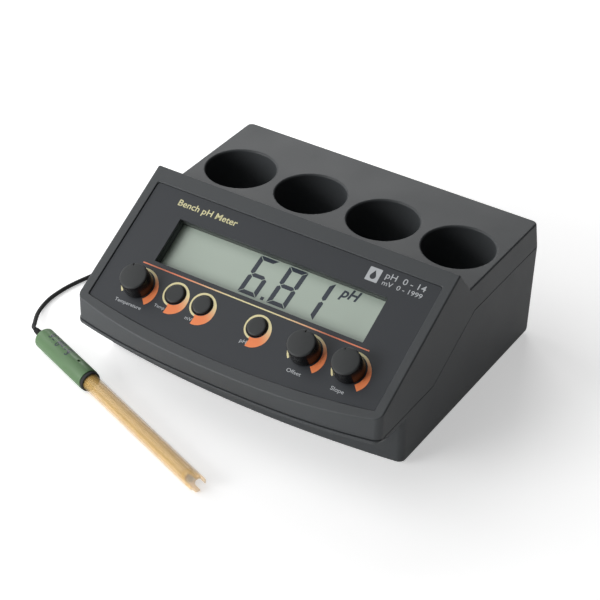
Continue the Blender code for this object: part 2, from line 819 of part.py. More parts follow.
def add_knob(panel, name, x, down, pointer):
    """A control knob with its potentiometer, shaft and nut."""
    axis = frame(name + "_axis", (x, -down, 0))
    axis.parent = panel
    low = KNOB_LIFT - OVERLAY_DEPTH
    top = low + KNOB_HEIGHT
    hollow_top = low + KNOB_HOLLOW_DEPTH
    shaft_top = low + SHAFT_IN_KNOB
    bore = SHAFT_RADIUS + GAP
    shoulder = (KNOB_TOP_RADIUS - KNOB_SHOULDER, top - KNOB_SHOULDER)
    profile = [(0, shaft_top + GAP), (bore, shaft_top + GAP), (bore, hollow_top)]
    profile += [(KNOB_HOLLOW_RADIUS, hollow_top), (KNOB_HOLLOW_RADIUS, low)]
    profile += [(KNOB_BASE_RADIUS, low)]
    profile += arc(shoulder, KNOB_SHOULDER, 0, 90, 2)
    profile += [(0, top + KNOB_DOME)]
    knob = solid(name + "_knob", turned(profile), black_plastic(), axis, 40)
    angle = math.radians(pointer)
    reach = KNOB_TOP_RADIUS - KNOB_NOTCH_LENGTH / 2
    notch = block(
        (KNOB_NOTCH_LENGTH + OVERCUT, KNOB_NOTCH_WIDTH, KNOB_SHOULDER * 2),
        (reach + OVERCUT / 2, 0, top + KNOB_DOME),
    )
    moved(notch, Matrix.Rotation(angle, 4, "Z"))
    boolean(knob, solid("cut_" + name + "_pointer", notch, None, axis))

    board_face = -BOARD_DEPTH
    pot_low = board_face + GAP
    pot_top = pot_low + POT_THICKNESS
    cavity = pot_low + POT_THICKNESS / 3
    shaft = turned(disc(SHAFT_RADIUS, cavity + GAP, shaft_top), SMALL_SIDES)
    solid(name + "_pot_shaft", shaft, nickel(), axis, 30)
    bushing_top = hollow_top - GAP - KNOB_HOLLOW_DEPTH / 4
    profile = [(0, pot_low), (POT_RADIUS, pot_low), (POT_RADIUS, pot_top)]
    profile += [(BUSHING_RADIUS, pot_top), (BUSHING_RADIUS, bushing_top), (bore, bushing_top)]
    profile += [(bore, cavity), (0, cavity)]
    solid(name + "_potentiometer", turned(profile, MEDIUM_SIDES), steel(), axis, 30)
    seat = -RECESS_DEPTH + GAP
    hexagon = turned(disc(NUT_RADIUS, seat, seat + NUT_THICKNESS), 6)
    nut = solid(name + "_pot_nut", hexagon, nickel(), axis)
    hole = turned(disc(BUSHING_RADIUS + GAP, seat - OVERCUT, seat + NUT_THICKNESS + OVERCUT), SMALL_SIDES)
    boolean(nut, solid("cut_" + name + "_nut", hole, None, axis))


def add_button(panel, name, x, down):
    """A push button with its switch and the switch's plunger."""
    axis = frame(name + "_button_axis", (x, -down, 0))
    axis.parent = panel
    face = -OVERLAY_DEPTH
    top = face + BUTTON_HEIGHT
    low = face - BUTTON_SKIRT
    shoulder = (BUTTON_RADIUS - BUTTON_ROUND, top - BUTTON_ROUND)
    profile = [(0, low), (BUTTON_RADIUS, low)] + arc(shoulder, BUTTON_ROUND, 0, 90, 2) + [(0, top)]
    solid(name + "_button", turned(profile), black_plastic(), axis, 40)

    switch_low = GAP - BOARD_DEPTH
    switch_top = switch_low + SWITCH_THICKNESS
    plunger_low = switch_top - GAP
    plunger = turned(disc(PLUNGER_RADIUS, plunger_low, low - GAP), SMALL_SIDES)
    white = finish("plunger_white", (0.75, 0.75, 0.72), 0.45)
    solid(name + "_switch_plunger", plunger, white, axis, 30)
    middle = (switch_low + switch_top) / 2
    body = block((SWITCH_SIZE, SWITCH_SIZE, SWITCH_THICKNESS), (0, 0, middle))
    switch = solid(name + "_switch", body, black_plastic(), axis)
    depth = BUTTON_TRAVEL + 3 * GAP
    hole = turned(disc(PLUNGER_RADIUS + GAP, switch_top - depth, switch_top + OVERCUT), SMALL_SIDES)
    boolean(switch, solid("cut_" + name + "_switch", hole, None, axis))


# ---------------------------------------------------------------- inside the base
def add_boards():
    width, depth = MAIN_BOARD
    low = BOTTOM_Z + MAIN_BOARD_LIFT
    middle = RIDGE_Y + MAIN_BOARD_REACH
    board = block((width, depth, BOARD_THICKNESS), (0, middle, low + BOARD_THICKNESS / 2))
    solid("main_board", board, board_green())

    x, reach = SHIELD_PLACE
    length, breadth, height = SHIELD_SIZE
    seat = low + BOARD_THICKNESS + GAP
    can = block(SHIELD_SIZE, (x, RIDGE_Y + reach, seat + height / 2))
    shield = solid("input_shield_can", can, steel())
    inner = (length - 2 * SHIELD_WALL, breadth - 2 * SHIELD_WALL, height)
    cavity = block(inner, (x, RIDGE_Y + reach, seat + height / 2 - SHIELD_WALL))
    boolean(shield, solid("cut_shield_can", cavity, None))

    solid("board_ribbon_cable", ribbon(), finish("ribbon_grey", (0.45, 0.46, 0.48), 0.55), None, 40)


def ribbon():
    """A flat ribbon that loops from the back of the display board down to the main board."""
    drop = BOARD_DEPTH + BOARD_THICKNESS + GAP
    down = (BOARD_TOP + BOARD_BOTTOM) / 2
    normal = Vector((-math.sin(PANEL_ANGLE), math.cos(PANEL_ANGLE)))
    slope = Vector((-math.cos(PANEL_ANGLE), -math.sin(PANEL_ANGLE)))
    top = Vector((RIDGE_Y, RIDGE_Z)) + slope * down - normal * drop
    foot_z = BOTTOM_Z + MAIN_BOARD_LIFT + BOARD_THICKNESS + GAP
    foot = Vector((RIDGE_Y + MAIN_BOARD_REACH - MAIN_BOARD[1] / 2 + RIBBON_WIDTH / 2, foot_z))
    pull = (top - foot).length * RIBBON_SLACK
    handles = [top, top - normal * pull, foot + Vector((0, pull)), foot]
    steps = 14
    middle, side = [], []
    for i in range(steps + 1):
        t = i / steps
        weights = [(1 - t) ** 3, 3 * t * (1 - t) ** 2, 3 * t * t * (1 - t), t**3]
        slopes = [-3 * (1 - t) ** 2, 3 * (1 - t) * (1 - 3 * t), 3 * t * (2 - 3 * t), 3 * t * t]
        middle.append(sum((h * w for h, w in zip(handles, weights)), Vector((0, 0))))
        along = sum((h * s for h, s in zip(handles, slopes)), Vector((0, 0))).normalized()
        side.append(Vector((-along.y, along.x)) * RIBBON_THICKNESS / 2)
    outline = [m + s for m, s in zip(middle, side)]
    outline += [m - s for m, s in zip(reversed(middle), reversed(side))]
    half = RIBBON_WIDTH / 2
    return loft([[(x, y, z) for y, z in outline] for x in (-half, half)])


# ---------------------------------------------------------------- the rear connections
def add_power_switch():
    x, z = SWITCH_PLACE
    centre_z = BOTTOM_Z + z
    flange = POWER_FRAME[1]
    body_width, body_depth, body_height = POWER_BODY
    rim = block(POWER_FRAME, (x, FLAT_Y + GAP + flange / 2, centre_z))
    housing = solid("power_switch_housing", rim, black_plastic())
    body = block(
        (body_width, body_depth + flange / 2, body_height),
        (x, FLAT_Y + GAP + flange / 2 - (body_depth + flange / 2) / 2, centre_z),
    )
    boolean(housing, solid("add_switch_body", body, None), "UNION")
    cavity_depth = ROCKER_THICKNESS + ROCKER_SIZE[1] / 4
    cavity = block(
        (ROCKER_SIZE[0] + 4 * GAP, cavity_depth + OVERCUT, ROCKER_SIZE[1] + 5 * GAP),
        (x, FLAT_Y + flange + (OVERCUT - cavity_depth) / 2, centre_z),
    )
    boolean(housing, solid("cut_switch_cavity", cavity, None))

    pivot = frame("rocker_axis", (x, FLAT_Y, centre_z), (ROCKER_TILT, 0, 0))
    half = ROCKER_SIZE[1] / 2
    face = flange + GAP
    outline = [
        (face - ROCKER_THICKNESS, -half * ROCKER_TAPER),
        (face, -half),
        (face + ROCKER_RISE, -half),
        (face, 0.0),
        (face + ROCKER_RISE, half),
        (face, half),
        (face - ROCKER_THICKNESS, half * ROCKER_TAPER),
    ]
    across = ROCKER_SIZE[0] / 2
    rocker = loft([[(side, y, z) for y, z in outline] for side in (-across, across)])
    solid("power_rocker", rocker, black_plastic(), pivot)


def add_inlet():
    x, z = INLET_PLACE
    width, depth, height = INLET_SIZE
    body = block(INLET_SIZE, (x, FLAT_Y - depth / 2, BOTTOM_Z + z))
    inlet = solid("power_inlet", body, black_plastic())
    bore = turned(tube(INLET_BORE, INLET_PIN, -INLET_BORE_DEPTH, OVERCUT), SMALL_SIDES)
    boolean(inlet, solid("cut_inlet_bore", moved(bore, rear_frame(x, z)), None))


def add_bnc():
    """The input socket, its nut, and the plug with its turning collar."""
    axis = frame("bnc_axis", rear_frame(*BNC_PLACE).to_translation(), (-math.pi / 2, 0, 0))
    inner = -BASE_BACK_WALL - GAP
    flange_low = inner - BNC_FLANGE_THICKNESS
    nut_top = GAP + BNC_NUT_THICKNESS
    tip = nut_top + BNC_BARREL_LENGTH
    floor = nut_top + BNC_BARREL_LENGTH / 4
    pin_top = tip - BNC_BARREL_LENGTH / 4
    profile = [(0, flange_low), (BNC_FLANGE_RADIUS, flange_low), (BNC_FLANGE_RADIUS, inner)]
    profile += [(BNC_THREAD_RADIUS, inner), (BNC_THREAD_RADIUS, nut_top)]
    profile += [(BNC_BARREL_RADIUS, nut_top), (BNC_BARREL_RADIUS, tip), (BNC_BARREL_BORE, tip)]
    profile += [(BNC_BARREL_BORE, floor), (BNC_PIN_RADIUS, floor), (BNC_PIN_RADIUS, pin_top)]
    profile += [(0, pin_top)]
    socket = solid("bnc_socket", turned(profile, MEDIUM_SIDES), nickel(), axis, 30)
    lug = disc(LUG_RADIUS, BNC_BARREL_BORE + GAP, LUG_REACH)
    lugs = []
    for side in (-1, 1):
        turn = Matrix.Rotation(side * math.pi / 2, 4, "Y")
        place = Matrix.Translation((0, 0, tip - BNC_BARREL_LENGTH / 3))
        lugs.append(moved(turned(lug, SMALL_SIDES), place @ turn))
    lug_tool = group("add_bnc_lugs", lugs)
    lug_tool.parent = axis
    boolean(socket, lug_tool, "UNION")

    nut = solid(
        "bnc_nut", turned(disc(BNC_NUT_RADIUS, GAP, nut_top - GAP / 2), 6), nickel(), axis
    )
    hole = turned(disc(BNC_THREAD_RADIUS + GAP, -OVERCUT, nut_top + OVERCUT), MEDIUM_SIDES)
    boolean(nut, solid("cut_bnc_nut", hole, None, axis))

    shoulder_low = tip + GAP
    shoulder_top = shoulder_low + PLUG_SHOULDER_LENGTH
    body_top = shoulder_top + PLUG_BODY_LENGTH
    nose_low = tip - PLUG_NOSE_LENGTH
    cavity_top = tip + PLUG_SHOULDER_LENGTH
    profile = [(0, cavity_top), (PLUG_NOSE_BORE, cavity_top), (PLUG_NOSE_BORE, nose_low)]
    profile += [(PLUG_NOSE_RADIUS, nose_low), (PLUG_NOSE_RADIUS, shoulder_low)]
    profile += [(PLUG_SHOULDER_RADIUS, shoulder_low), (PLUG_SHOULDER_RADIUS, shoulder_top)]
    profile += [(PLUG_BODY_RADIUS, shoulder_top), (PLUG_BODY_RADIUS, body_top), (0, body_top)]
    solid("bnc_plug_body", turned(profile, MEDIUM_SIDES), nickel(), axis, 30)

    collar_low = nut_top + GAP
    lip_low = shoulder_top + GAP
    lug_room = LUG_REACH + 2 * GAP
    profile = [(lug_room, collar_low), (COLLAR_RADIUS, collar_low)]
    profile += [(COLLAR_RADIUS, lip_low + COLLAR_LIP), (PLUG_BODY_RADIUS + GAP, lip_low + COLLAR_LIP)]
    profile += [(PLUG_BODY_RADIUS + GAP, lip_low), (lug_room, lip_low)]
    solid("bnc_plug_collar", turned(profile, MEDIUM_SIDES), nickel(), axis, 30)

    boot_low = body_top + GAP
    wide, narrow = BOOT_RADII
    profile = [(0, boot_low), (wide, boot_low), (wide, boot_low + BOOT_LENGTH / 5)]
    profile += [(narrow, boot_low + BOOT_LENGTH), (0, boot_low + BOOT_LENGTH)]
    solid("bnc_plug_boot", turned(profile, MEDIUM_SIDES), black_rubber(), axis, 30)


# ---------------------------------------------------------------- the electrode
def electrode_frame():
    """Local +Z runs from the back of the cap to the tip, which is lower as it is thinner."""
    shaft = ELECTRODE_LENGTH - CAP_LENGTH
    tilt = math.asin((CAP_RADIUS - BODY_RADIUS) / shaft)
    height = CAP_RADIUS + CAP_LENGTH * math.sin(tilt) + GAP / 3
    place = Matrix.Translation((*ELECTRODE_START, height))
    heading = Matrix.Rotation(ELECTRODE_TURN, 4, "Z") @ Matrix.Rotation(math.pi / 2 + tilt, 4, "Y")
    return place @ heading


def add_electrode():
    green = finish("cap_green", (0.10, 0.27, 0.10), 0.45)
    amber = finish("amber_plastic", (0.85, 0.55, 0.15), 0.15, 0.0, 0.5)
    clear = finish("clear_glass", (0.90, 0.88, 0.80), 0.05, 0.0, 0.4)
    silver = finish("silver_wire", (0.55, 0.53, 0.50), 0.40, 1.0)
    axis = bpy.data.objects.new("electrode_axis", None)
    axis.matrix_world = electrode_frame()
    bpy.context.collection.objects.link(axis)

    round_off = CAP_ROUNDING
    socket_floor = CAP_LENGTH - CAP_SOCKET
    back = arc((CAP_RADIUS - round_off, round_off), round_off, -90, 0, 2)
    profile = [(0, 0)] + back + [(CAP_RADIUS, CAP_LENGTH), (BODY_RADIUS + GAP, CAP_LENGTH)]
    profile += [(BODY_RADIUS + GAP, socket_floor), (0, socket_floor)]
    solid("electrode_cap", turned(profile), green, axis, 30)

    seal_low = CAP_LENGTH + GAP
    seal = tube(SEAL_RADIUS, BODY_RADIUS + GAP, seal_low, seal_low + SEAL_LENGTH)
    solid("electrode_seal_ring", turned(seal), black_rubber(), axis, 30)

    body_low = socket_floor + GAP
    body = turned(tube(BODY_RADIUS, BODY_BORE, body_low, ELECTRODE_LENGTH))
    shaft = solid("electrode_body", body, amber, axis, 30)
    slots = []
    for turn in (math.pi / 4, -math.pi / 4):
        slot_centre = (0, 0, ELECTRODE_LENGTH + (OVERCUT - GUARD_SLOT_LENGTH) / 2)
        slot = block(
            (4 * BODY_RADIUS, GUARD_SLOT_WIDTH, GUARD_SLOT_LENGTH + OVERCUT), slot_centre
        )
        slots.append(moved(slot, Matrix.Rotation(turn, 4, "Z")))
    for number, slot in enumerate(slots):
        boolean(shaft, solid("cut_guard_slot_%d" % (number + 1), slot, None, axis))

    bulb_z = ELECTRODE_LENGTH - BULB_SETBACK - BULB_RADIUS
    neck = math.degrees(math.asin(STEM_RADIUS / BULB_RADIUS))
    stem_low = body_low + CAP_SOCKET / 3
    profile = [(0, stem_low), (STEM_RADIUS, stem_low)]
    profile += arc((0, bulb_z), BULB_RADIUS, neck - 90, 70, 5)
    profile += [(0, bulb_z + BULB_RADIUS)]
    solid("glass_stem_and_bulb", turned(profile, MEDIUM_SIDES), clear, axis, 40)

    offset = (STEM_RADIUS + BODY_BORE) / 2
    wire = turned(disc(WIRE_RADIUS, stem_low, bulb_z - 4 * BULB_RADIUS), SMALL_SIDES)
    moved(wire, Matrix.Translation((offset, 0, 0)))
    solid("reference_wire", wire, silver, axis, 30)

    wide, narrow = RELIEF_RADII
    profile = [(0, -RELIEF_LENGTH), (narrow, -RELIEF_LENGTH), (wide, -RELIEF_LENGTH / 4)]
    profile += [(wide, -GAP), (0, -GAP)]
    solid("electrode_strain_relief", turned(profile, MEDIUM_SIDES), black_rubber(), axis, 30)


# ---------------------------------------------------------------- the cable
def smooth_line(route, spacing):
    """Points about that far apart on a smooth curve through the route's points."""
    points = [Vector(p) for p in route]
    ends = [points[0] * 2 - points[1]] + points + [points[-1] * 2 - points[-2]]
    line = []
    for before, start, end, after in zip(ends, ends[1:], ends[2:], ends[3:]):
        steps = max(1, round((end - start).length / spacing))
        for i in range(steps):
            t = i / steps
            line.append(
                0.5
                * (
                    2 * start
                    + (end - before) * t
                    + (2 * before - 5 * start + 4 * end - after) * t * t
                    + (3 * start - before - 3 * end + after) * t * t * t
                )
            )
    return line + [points[-1]]


def add_cable_tube(name, route):
    curve = bpy.data.curves.new(name, "CURVE")
    curve.dimensions = "3D"
    curve.bevel_depth = CABLE_RADIUS
    curve.bevel_resolution = 2
    curve.use_fill_caps = True
    line = smooth_line(route, 6 * CABLE_RADIUS)
    spline = curve.splines.new("POLY")
    spline.points.add(len(line) - 1)
    for point, spot in zip(spline.points, line):
        point.co = (*spot, 1.0)
    curve.materials.append(black_rubber())
    tube_object = bpy.data.objects.new(name, curve)
    bpy.context.collection.objects.link(tube_object)


def add_cable():
    add_cable_tube("cable_run", RUN_ROUTE)
    add_cable_tube("cable_tail", TAIL_ROUTE)
    beside, stacked = COIL_LAYERS
    half = beside * CABLE_RADIUS
    height = stacked * 2 * CABLE_RADIUS
    edge = CABLE_RADIUS * COIL_ROUNDING
    inner, outer = COIL_TURN_RADIUS - half, COIL_TURN_RADIUS + half
    low, high = COIL_LIFT, COIL_LIFT + height
    profile = [(inner + edge, low), (outer - edge, low), (outer, low + edge), (outer, high - edge)]
    profile += [(outer - edge, high), (inner + edge, high), (inner, high - edge), (inner, low + edge)]
    coil = solid("cable_coil", turned(profile), black_rubber(), None, 30)
    coil.location = (*COIL_CENTRE, 0)

    width, room = 2 * half + 2 * GAP, height + 2 * GAP
    middle = (low + high) / 2
    outside = block(
        (width + 2 * TIE_THICKNESS, TIE_WIDTH, room + 2 * TIE_THICKNESS),
        (COIL_TURN_RADIUS, 0, middle),
    )
    turn = Matrix.Translation((*COIL_CENTRE, 0)) @ Matrix.Rotation(TIE_TURN, 4, "Z")
    tie = solid("cable_tie", moved(outside, turn), black_rubber())
    bent_room = block((width + 2 * GAP, 2 * TIE_WIDTH, room), (COIL_TURN_RADIUS, 0, middle))
    boolean(tie, solid("cut_cable_tie", moved(bent_room, turn), None))


def main():
    clear_scene()
    panel = frame("panel_frame", (0, RIDGE_Y, RIDGE_Z), (PANEL_ANGLE, 0, 0))
    add_top_cover(panel)
    add_base_tub()
    add_feet_and_screws()
    add_overlay_and_display(panel)
    for name, (x, down, pointer) in KNOBS.items():
        add_knob(panel, name, x, down, pointer)
    for name, (x, down) in BUTTONS.items():
        add_button(panel, name, x, down)
    add_boards()
    add_power_switch()
    add_inlet()
    add_bnc()
    add_electrode()
    add_cable()


main()
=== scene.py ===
# %% [markdown]
# # A bench pH meter and its electrode
#
# A laboratory pH meter is a wedge of moulded plastic: a cover with a sloping panel and four wells for
# bottles, on a base that holds the electronics.  A glass-bulb electrode lies beside it on a thin cable.
# This lesson gives the engineering model of the meter its real shapes and finishes.  The engineering model
# is the frame: every piece here takes its place from it, and each one rides on a body that can move.

import json
import math

import bmesh
import bpy
from mathutils import Matrix, Vector


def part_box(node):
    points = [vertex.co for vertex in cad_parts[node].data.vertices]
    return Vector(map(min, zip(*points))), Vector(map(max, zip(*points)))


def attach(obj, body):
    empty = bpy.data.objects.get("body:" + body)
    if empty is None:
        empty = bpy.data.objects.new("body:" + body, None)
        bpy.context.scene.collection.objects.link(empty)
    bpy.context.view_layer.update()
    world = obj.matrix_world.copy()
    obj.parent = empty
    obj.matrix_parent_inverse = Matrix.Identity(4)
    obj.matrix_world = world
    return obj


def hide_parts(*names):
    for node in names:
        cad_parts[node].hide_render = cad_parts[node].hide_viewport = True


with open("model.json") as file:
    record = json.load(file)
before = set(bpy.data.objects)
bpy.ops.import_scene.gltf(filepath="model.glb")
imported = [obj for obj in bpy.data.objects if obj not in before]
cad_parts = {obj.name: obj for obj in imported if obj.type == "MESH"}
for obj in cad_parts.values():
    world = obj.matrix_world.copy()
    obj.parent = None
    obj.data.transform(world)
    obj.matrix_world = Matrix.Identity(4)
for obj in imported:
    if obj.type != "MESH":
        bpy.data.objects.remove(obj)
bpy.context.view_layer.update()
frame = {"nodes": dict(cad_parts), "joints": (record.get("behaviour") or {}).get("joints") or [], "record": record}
nodes = frame["nodes"]
joints = {joint["name"]: joint for joint in frame["joints"]}

# %% [markdown]
# ## The panel's own frame
#
# Nearly everything on the meter sits on its sloping panel.  It is easier to draw a ring or a digit flat
# and to tilt it once than to work out each corner in space.  So `PANEL` is the matrix from a drawing of
# the panel, with X to the right, Y up the slope and Z out of it, to the room.  Its slope is read from
# the way a push button travels, and its top edge from the highest point of the cover.

# %% The panel's matrix
MM = 0.001
out_of_panel = -Vector(joints["ph_press"]["axis"])
PANEL_ANGLE = math.atan2(-out_of_panel.y, out_of_panel.z)
RIDGE_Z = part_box("top_cover")[1].z
knob_spot = Vector(joints["offset_turn"]["pos_m"])
RIDGE_Y = knob_spot.y + (RIDGE_Z - knob_spot.z) / math.tan(PANEL_ANGLE)
PANEL = Matrix.Translation((0, RIDGE_Y, RIDGE_Z)) @ Matrix.Rotation(PANEL_ANGLE, 4, "X")
print("panel slope %.2f degrees, ridge at y %.4f, z %.4f" % (math.degrees(PANEL_ANGLE), RIDGE_Y, RIDGE_Z))

# %% [markdown]
# ## The camera
#
# The meter is seen from above its right-hand front corner with a long lens, so its edges stay almost
# parallel.  The camera turns about Z, tips down, and leans a little.

# %% Camera
CAMERA_PLACE = (0.55505, -0.90353, 0.79936)
CAMERA_TURN = math.radians(31.86)
CAMERA_HEIGHT = math.radians(35.46)
CAMERA_LEAN = math.radians(1.36)
LENS = 114.7
SHIFT = (-0.0040, -0.0069)


def add_camera():
    camera = bpy.data.cameras.new("camera")
    camera.lens = LENS
    camera.shift_x, camera.shift_y = SHIFT
    camera.clip_start = 0.05
    camera.clip_end = 20.0
    holder = bpy.data.objects.new("camera", camera)
    turn = Matrix.Rotation(CAMERA_TURN, 4, "Z") @ Matrix.Rotation(math.pi / 2 - CAMERA_HEIGHT, 4, "X")
    holder.matrix_world = Matrix.Translation(CAMERA_PLACE) @ turn @ Matrix.Rotation(CAMERA_LEAN, 4, "Z")
    bpy.context.scene.collection.objects.link(holder)
    bpy.context.scene.camera = holder


add_camera()

# %% [markdown]
# ## Finishes
#
# A finish is a Principled shader with a small network behind it.  Written node by node such a network
# hides its own arithmetic, so two small classes do the typing.  `Value` wraps one socket, and its
# operators add Math nodes: `1 - mask * 0.5` is then a network of its own.  `Finish` makes the material,
# sets what is the same all over on the shader's own sockets, and adds any other node by its type.

# %% Values and finishes
class Value:
    """One socket of a finish, with arithmetic."""

    def __init__(self, finish, socket):
        self.finish = finish
        self.socket = socket

    def math(self, operation, first, second):
        return self.finish.add("ShaderNodeMath", {"operation": operation}, {0: first, 1: second})

    def __add__(self, other):
        return self.math("ADD", self, other)

    def __radd__(self, other):
        return self.math("ADD", other, self)

    def __sub__(self, other):
        return self.math("SUBTRACT", self, other)

    def __rsub__(self, other):
        return self.math("SUBTRACT", other, self)

    def __mul__(self, other):
        return self.math("MULTIPLY", self, other)

    def __rmul__(self, other):
        return self.math("MULTIPLY", other, self)


class Finish:
    """A Principled material and the nodes behind it."""

    def __init__(self, name, colour, **uniform):
        self.material = bpy.data.materials.new(name)
        self.material.use_nodes = True
        self.tree = self.material.node_tree
        self.shader = self.tree.nodes["Principled BSDF"]
        self.shader.inputs["Base Color"].default_value = (*colour, 1.0)
        for name, value in uniform.items():
            self.shader.inputs[name.replace("_", " ")].default_value = value
        self.place = self.add("ShaderNodeTexCoord", output="Object")

    def add(self, kind, settings=None, sockets=None, output=0):
        """A node: its settings first, then the values or links of its sockets."""
        node = self.tree.nodes.new(kind)
        for name, value in (settings or {}).items():
            if name == "stops":
                for stop, (spot, colour) in zip(node.color_ramp.elements, value):
                    stop.position = spot
                    stop.color = (*colour, 1.0)
            else:
                setattr(node, name, value)
        for key, value in (sockets or {}).items():
            self.feed(node.inputs[key], value)
        return Value(self, node.outputs[output])

    def feed(self, socket, value):
        if isinstance(value, Value):
            self.tree.links.new(value.socket, socket)
        else:
            socket.default_value = value

    def noise(self, size, detail=2.0, stretch=(1.0, 1.0, 1.0)):
        """Noise whose grains are about that size, in metres."""
        where = self.add("ShaderNodeMapping", None, {"Vector": self.place, "Scale": stretch})
        sockets = {"Vector": where, "Scale": 1 / size, "Detail": detail}
        return self.add("ShaderNodeTexNoise", None, sockets)

    def blend(self, mask, first, second):
        """A colour between two, by the mask."""
        sockets = {0: mask, 6: (*first, 1.0), 7: (*second, 1.0)}
        return self.add("ShaderNodeMix", {"data_type": "RGBA"}, sockets, output=2)

    def bump(self, height, depth):
        """Relief of that depth, in metres, on the surface."""
        normal = self.add("ShaderNodeBump", None, {"Distance": depth, "Height": height})
        self.feed(self.shader.inputs["Normal"], normal)

    def set(self, name, value):
        self.feed(self.shader.inputs[name], value)


# %% [markdown]
# ## Moulded plastic
#
# The case is moulded in a tool whose walls were spark-eroded, so its skin is a fine, even sand.  The
# grains are about a third of a millimetre wide and a few hundredths deep.  They scatter the light, and
# the plastic looks softer than it is.  Where hands and cloths rub it the sand is a little smoother,
# which slow noise in the roughness gives.

# %% Plastics
def moulded(name, colour, roughness, grain=0.00035, depth=0.00003, tone=0.08):
    """Moulded plastic with a sandy skin."""
    finish = Finish(name, colour, Specular_IOR_Level=0.45)
    sand = finish.noise(grain, 3.0)
    drift = finish.noise(0.03, 3.0)
    dark = tuple(part * (1 - tone) for part in colour)
    light = tuple(part * (1 + tone) for part in colour)
    finish.set("Base Color", finish.blend(0.35 * sand + 0.65 * drift, dark, light))
    finish.set("Roughness", roughness + 0.10 * (drift - 0.5) + 0.08 * (sand - 0.5))
    finish.bump(sand, depth)
    return finish.material


CASE = moulded("case_plastic", (0.055, 0.060, 0.064), 0.50)
FILM = moulded("panel_film", (0.027, 0.031, 0.037), 0.46, grain=0.00022, depth=0.000008, tone=0.04)
SHADE = moulded("dark_plastic", (0.070, 0.082, 0.076), 0.50)
BLACK = moulded("black_plastic", (0.011, 0.011, 0.012), 0.34, grain=0.00020, depth=0.000010)
RUBBER = moulded("rubber", (0.016, 0.016, 0.017), 0.72, grain=0.00050, depth=0.000040)
GREEN = moulded("cap_green", (0.108, 0.205, 0.092), 0.42, grain=0.00030, depth=0.000012)
WHITE = moulded("white_plastic", (0.700, 0.700, 0.680), 0.45)
print("plastics made")

# %% [markdown]
# ## Metal, glass and the boards
#
# Plated parts are bright but never perfect: turning leaves fine rings and handling leaves haze, so the
# roughness drifts.  The electrode's body is a clear amber plastic, seen through to the glass inside.

# %% Metals and clear finishes
def metal(name, colour, roughness, stretch=(1.0, 1.0, 1.0)):
    finish = Finish(name, colour, Metallic=1.0)
    lines = finish.noise(0.0006, 4.0, stretch)
    haze = finish.noise(0.008, 2.0)
    finish.set("Roughness", roughness + 0.16 * (haze - 0.5) + 0.10 * (lines - 0.5))
    finish.bump(lines, 0.000006)
    return finish.material


def clear(name, colour, cover):
    """A thin clear wall: cover is the share of the light that each of its faces keeps."""
    finish = Finish(name, colour, Roughness=0.10, IOR=1.45, Coat_Weight=0.5)
    drift = finish.noise(0.012, 2.0)
    dark = tuple(part * 0.9 for part in colour)
    finish.set("Base Color", finish.blend(drift, dark, colour))
    finish.set("Alpha", cover + 0.06 * drift)
    return finish.material


NICKEL = metal("nickel", (0.72, 0.70, 0.66), 0.24)
STEEL = metal("zinc_steel", (0.60, 0.61, 0.62), 0.36)
SILVER = metal("silver_wire", (0.20, 0.19, 0.18), 0.45)
AMBER = clear("amber_plastic", (1.00, 0.66, 0.22), 0.30)
GLASS = clear("clear_glass", (0.98, 0.90, 0.72), 0.14)


def board():
    """Solder mask over copper tracks, with the tracks as a faint relief."""
    finish = Finish("board_laminate", (0.02, 0.15, 0.06), Coat_Weight=0.4, Roughness=0.4)
    sockets = {"Vector": finish.place, "Scale": 380.0, "Randomness": 0.35}
    cells = finish.add("ShaderNodeTexVoronoi", {"feature": "F1"}, sockets)
    finish.set("Base Color", finish.blend(cells, (0.03, 0.21, 0.08), (0.015, 0.11, 0.05)))
    finish.bump(cells, 0.00002)
    return finish.material


def striped(name, light, dark, pitch):
    """Flat cable: one stripe for each conductor, side by side along X."""
    finish = Finish(name, light, Roughness=0.5)
    sockets = {"Vector": finish.place, "Scale": 1 / (pitch * 20)}
    wave = finish.add("ShaderNodeTexWave", {"bands_direction": "X"}, sockets)
    finish.set("Base Color", finish.blend(wave, dark, light))
    finish.bump(wave, 0.0001)
    return finish.material


BOARD = board()
RIBBON = striped("ribbon", (0.45, 0.46, 0.48), (0.25, 0.26, 0.28), 0.00127)
SILICONE = moulded("contact_silicone", (0.50, 0.51, 0.53), 0.60)
print("metals, clear finishes and boards made")

# %% [markdown]
# ## Inks and the display
#
# The rings about the controls run from cream to orange.  Each vertex of a printed shape carries a number
# called `shade`, 0 for cream and 1 for orange, and the ink reads it, so the colour follows the shape
# wherever it lies.  The display is grey-green glass with a soft sheen.

# %% Inks
def ink(name, stops, roughness):
    """A printed ink whose colour follows the shape's own shade."""
    finish = Finish(name, stops[0][1], Roughness=roughness)
    shade = finish.add("ShaderNodeAttribute", {"attribute_name": "shade"}, output="Fac")
    ramp = finish.add("ShaderNodeValToRGB", {"stops": stops}, {0: shade})
    finish.set("Base Color", ramp)
    finish.bump(finish.noise(0.00025, 2.0), 0.000006)
    return finish.material


CREAM = (0.80, 0.72, 0.40)
ORANGE = (0.95, 0.26, 0.085)
RING_INK = ink("ring_ink", [(0.0, CREAM), (1.0, ORANGE)], 0.5)
LINE_INK = ink("line_ink", [(0.0, CREAM), (1.0, (0.84, 0.24, 0.12))], 0.5)
LABEL_INK = moulded("label_ink", (0.50, 0.52, 0.54), 0.5, depth=0.000005)
TITLE_INK = moulded("title_ink", (0.70, 0.66, 0.38), 0.5, depth=0.000005)
DIGIT_INK = moulded("digit_ink", (0.030, 0.040, 0.058), 0.35, depth=0.000002)


def display():
    finish = Finish("display", (0.40, 0.46, 0.40), Coat_Weight=0.35, Coat_Roughness=0.12)
    drift = finish.noise(0.05, 1.0)
    finish.set("Base Color", finish.blend(drift, (0.420, 0.500, 0.425), (0.460, 0.535, 0.465)))
    finish.set("Roughness", 0.42 + 0.08 * drift)
    return finish.material


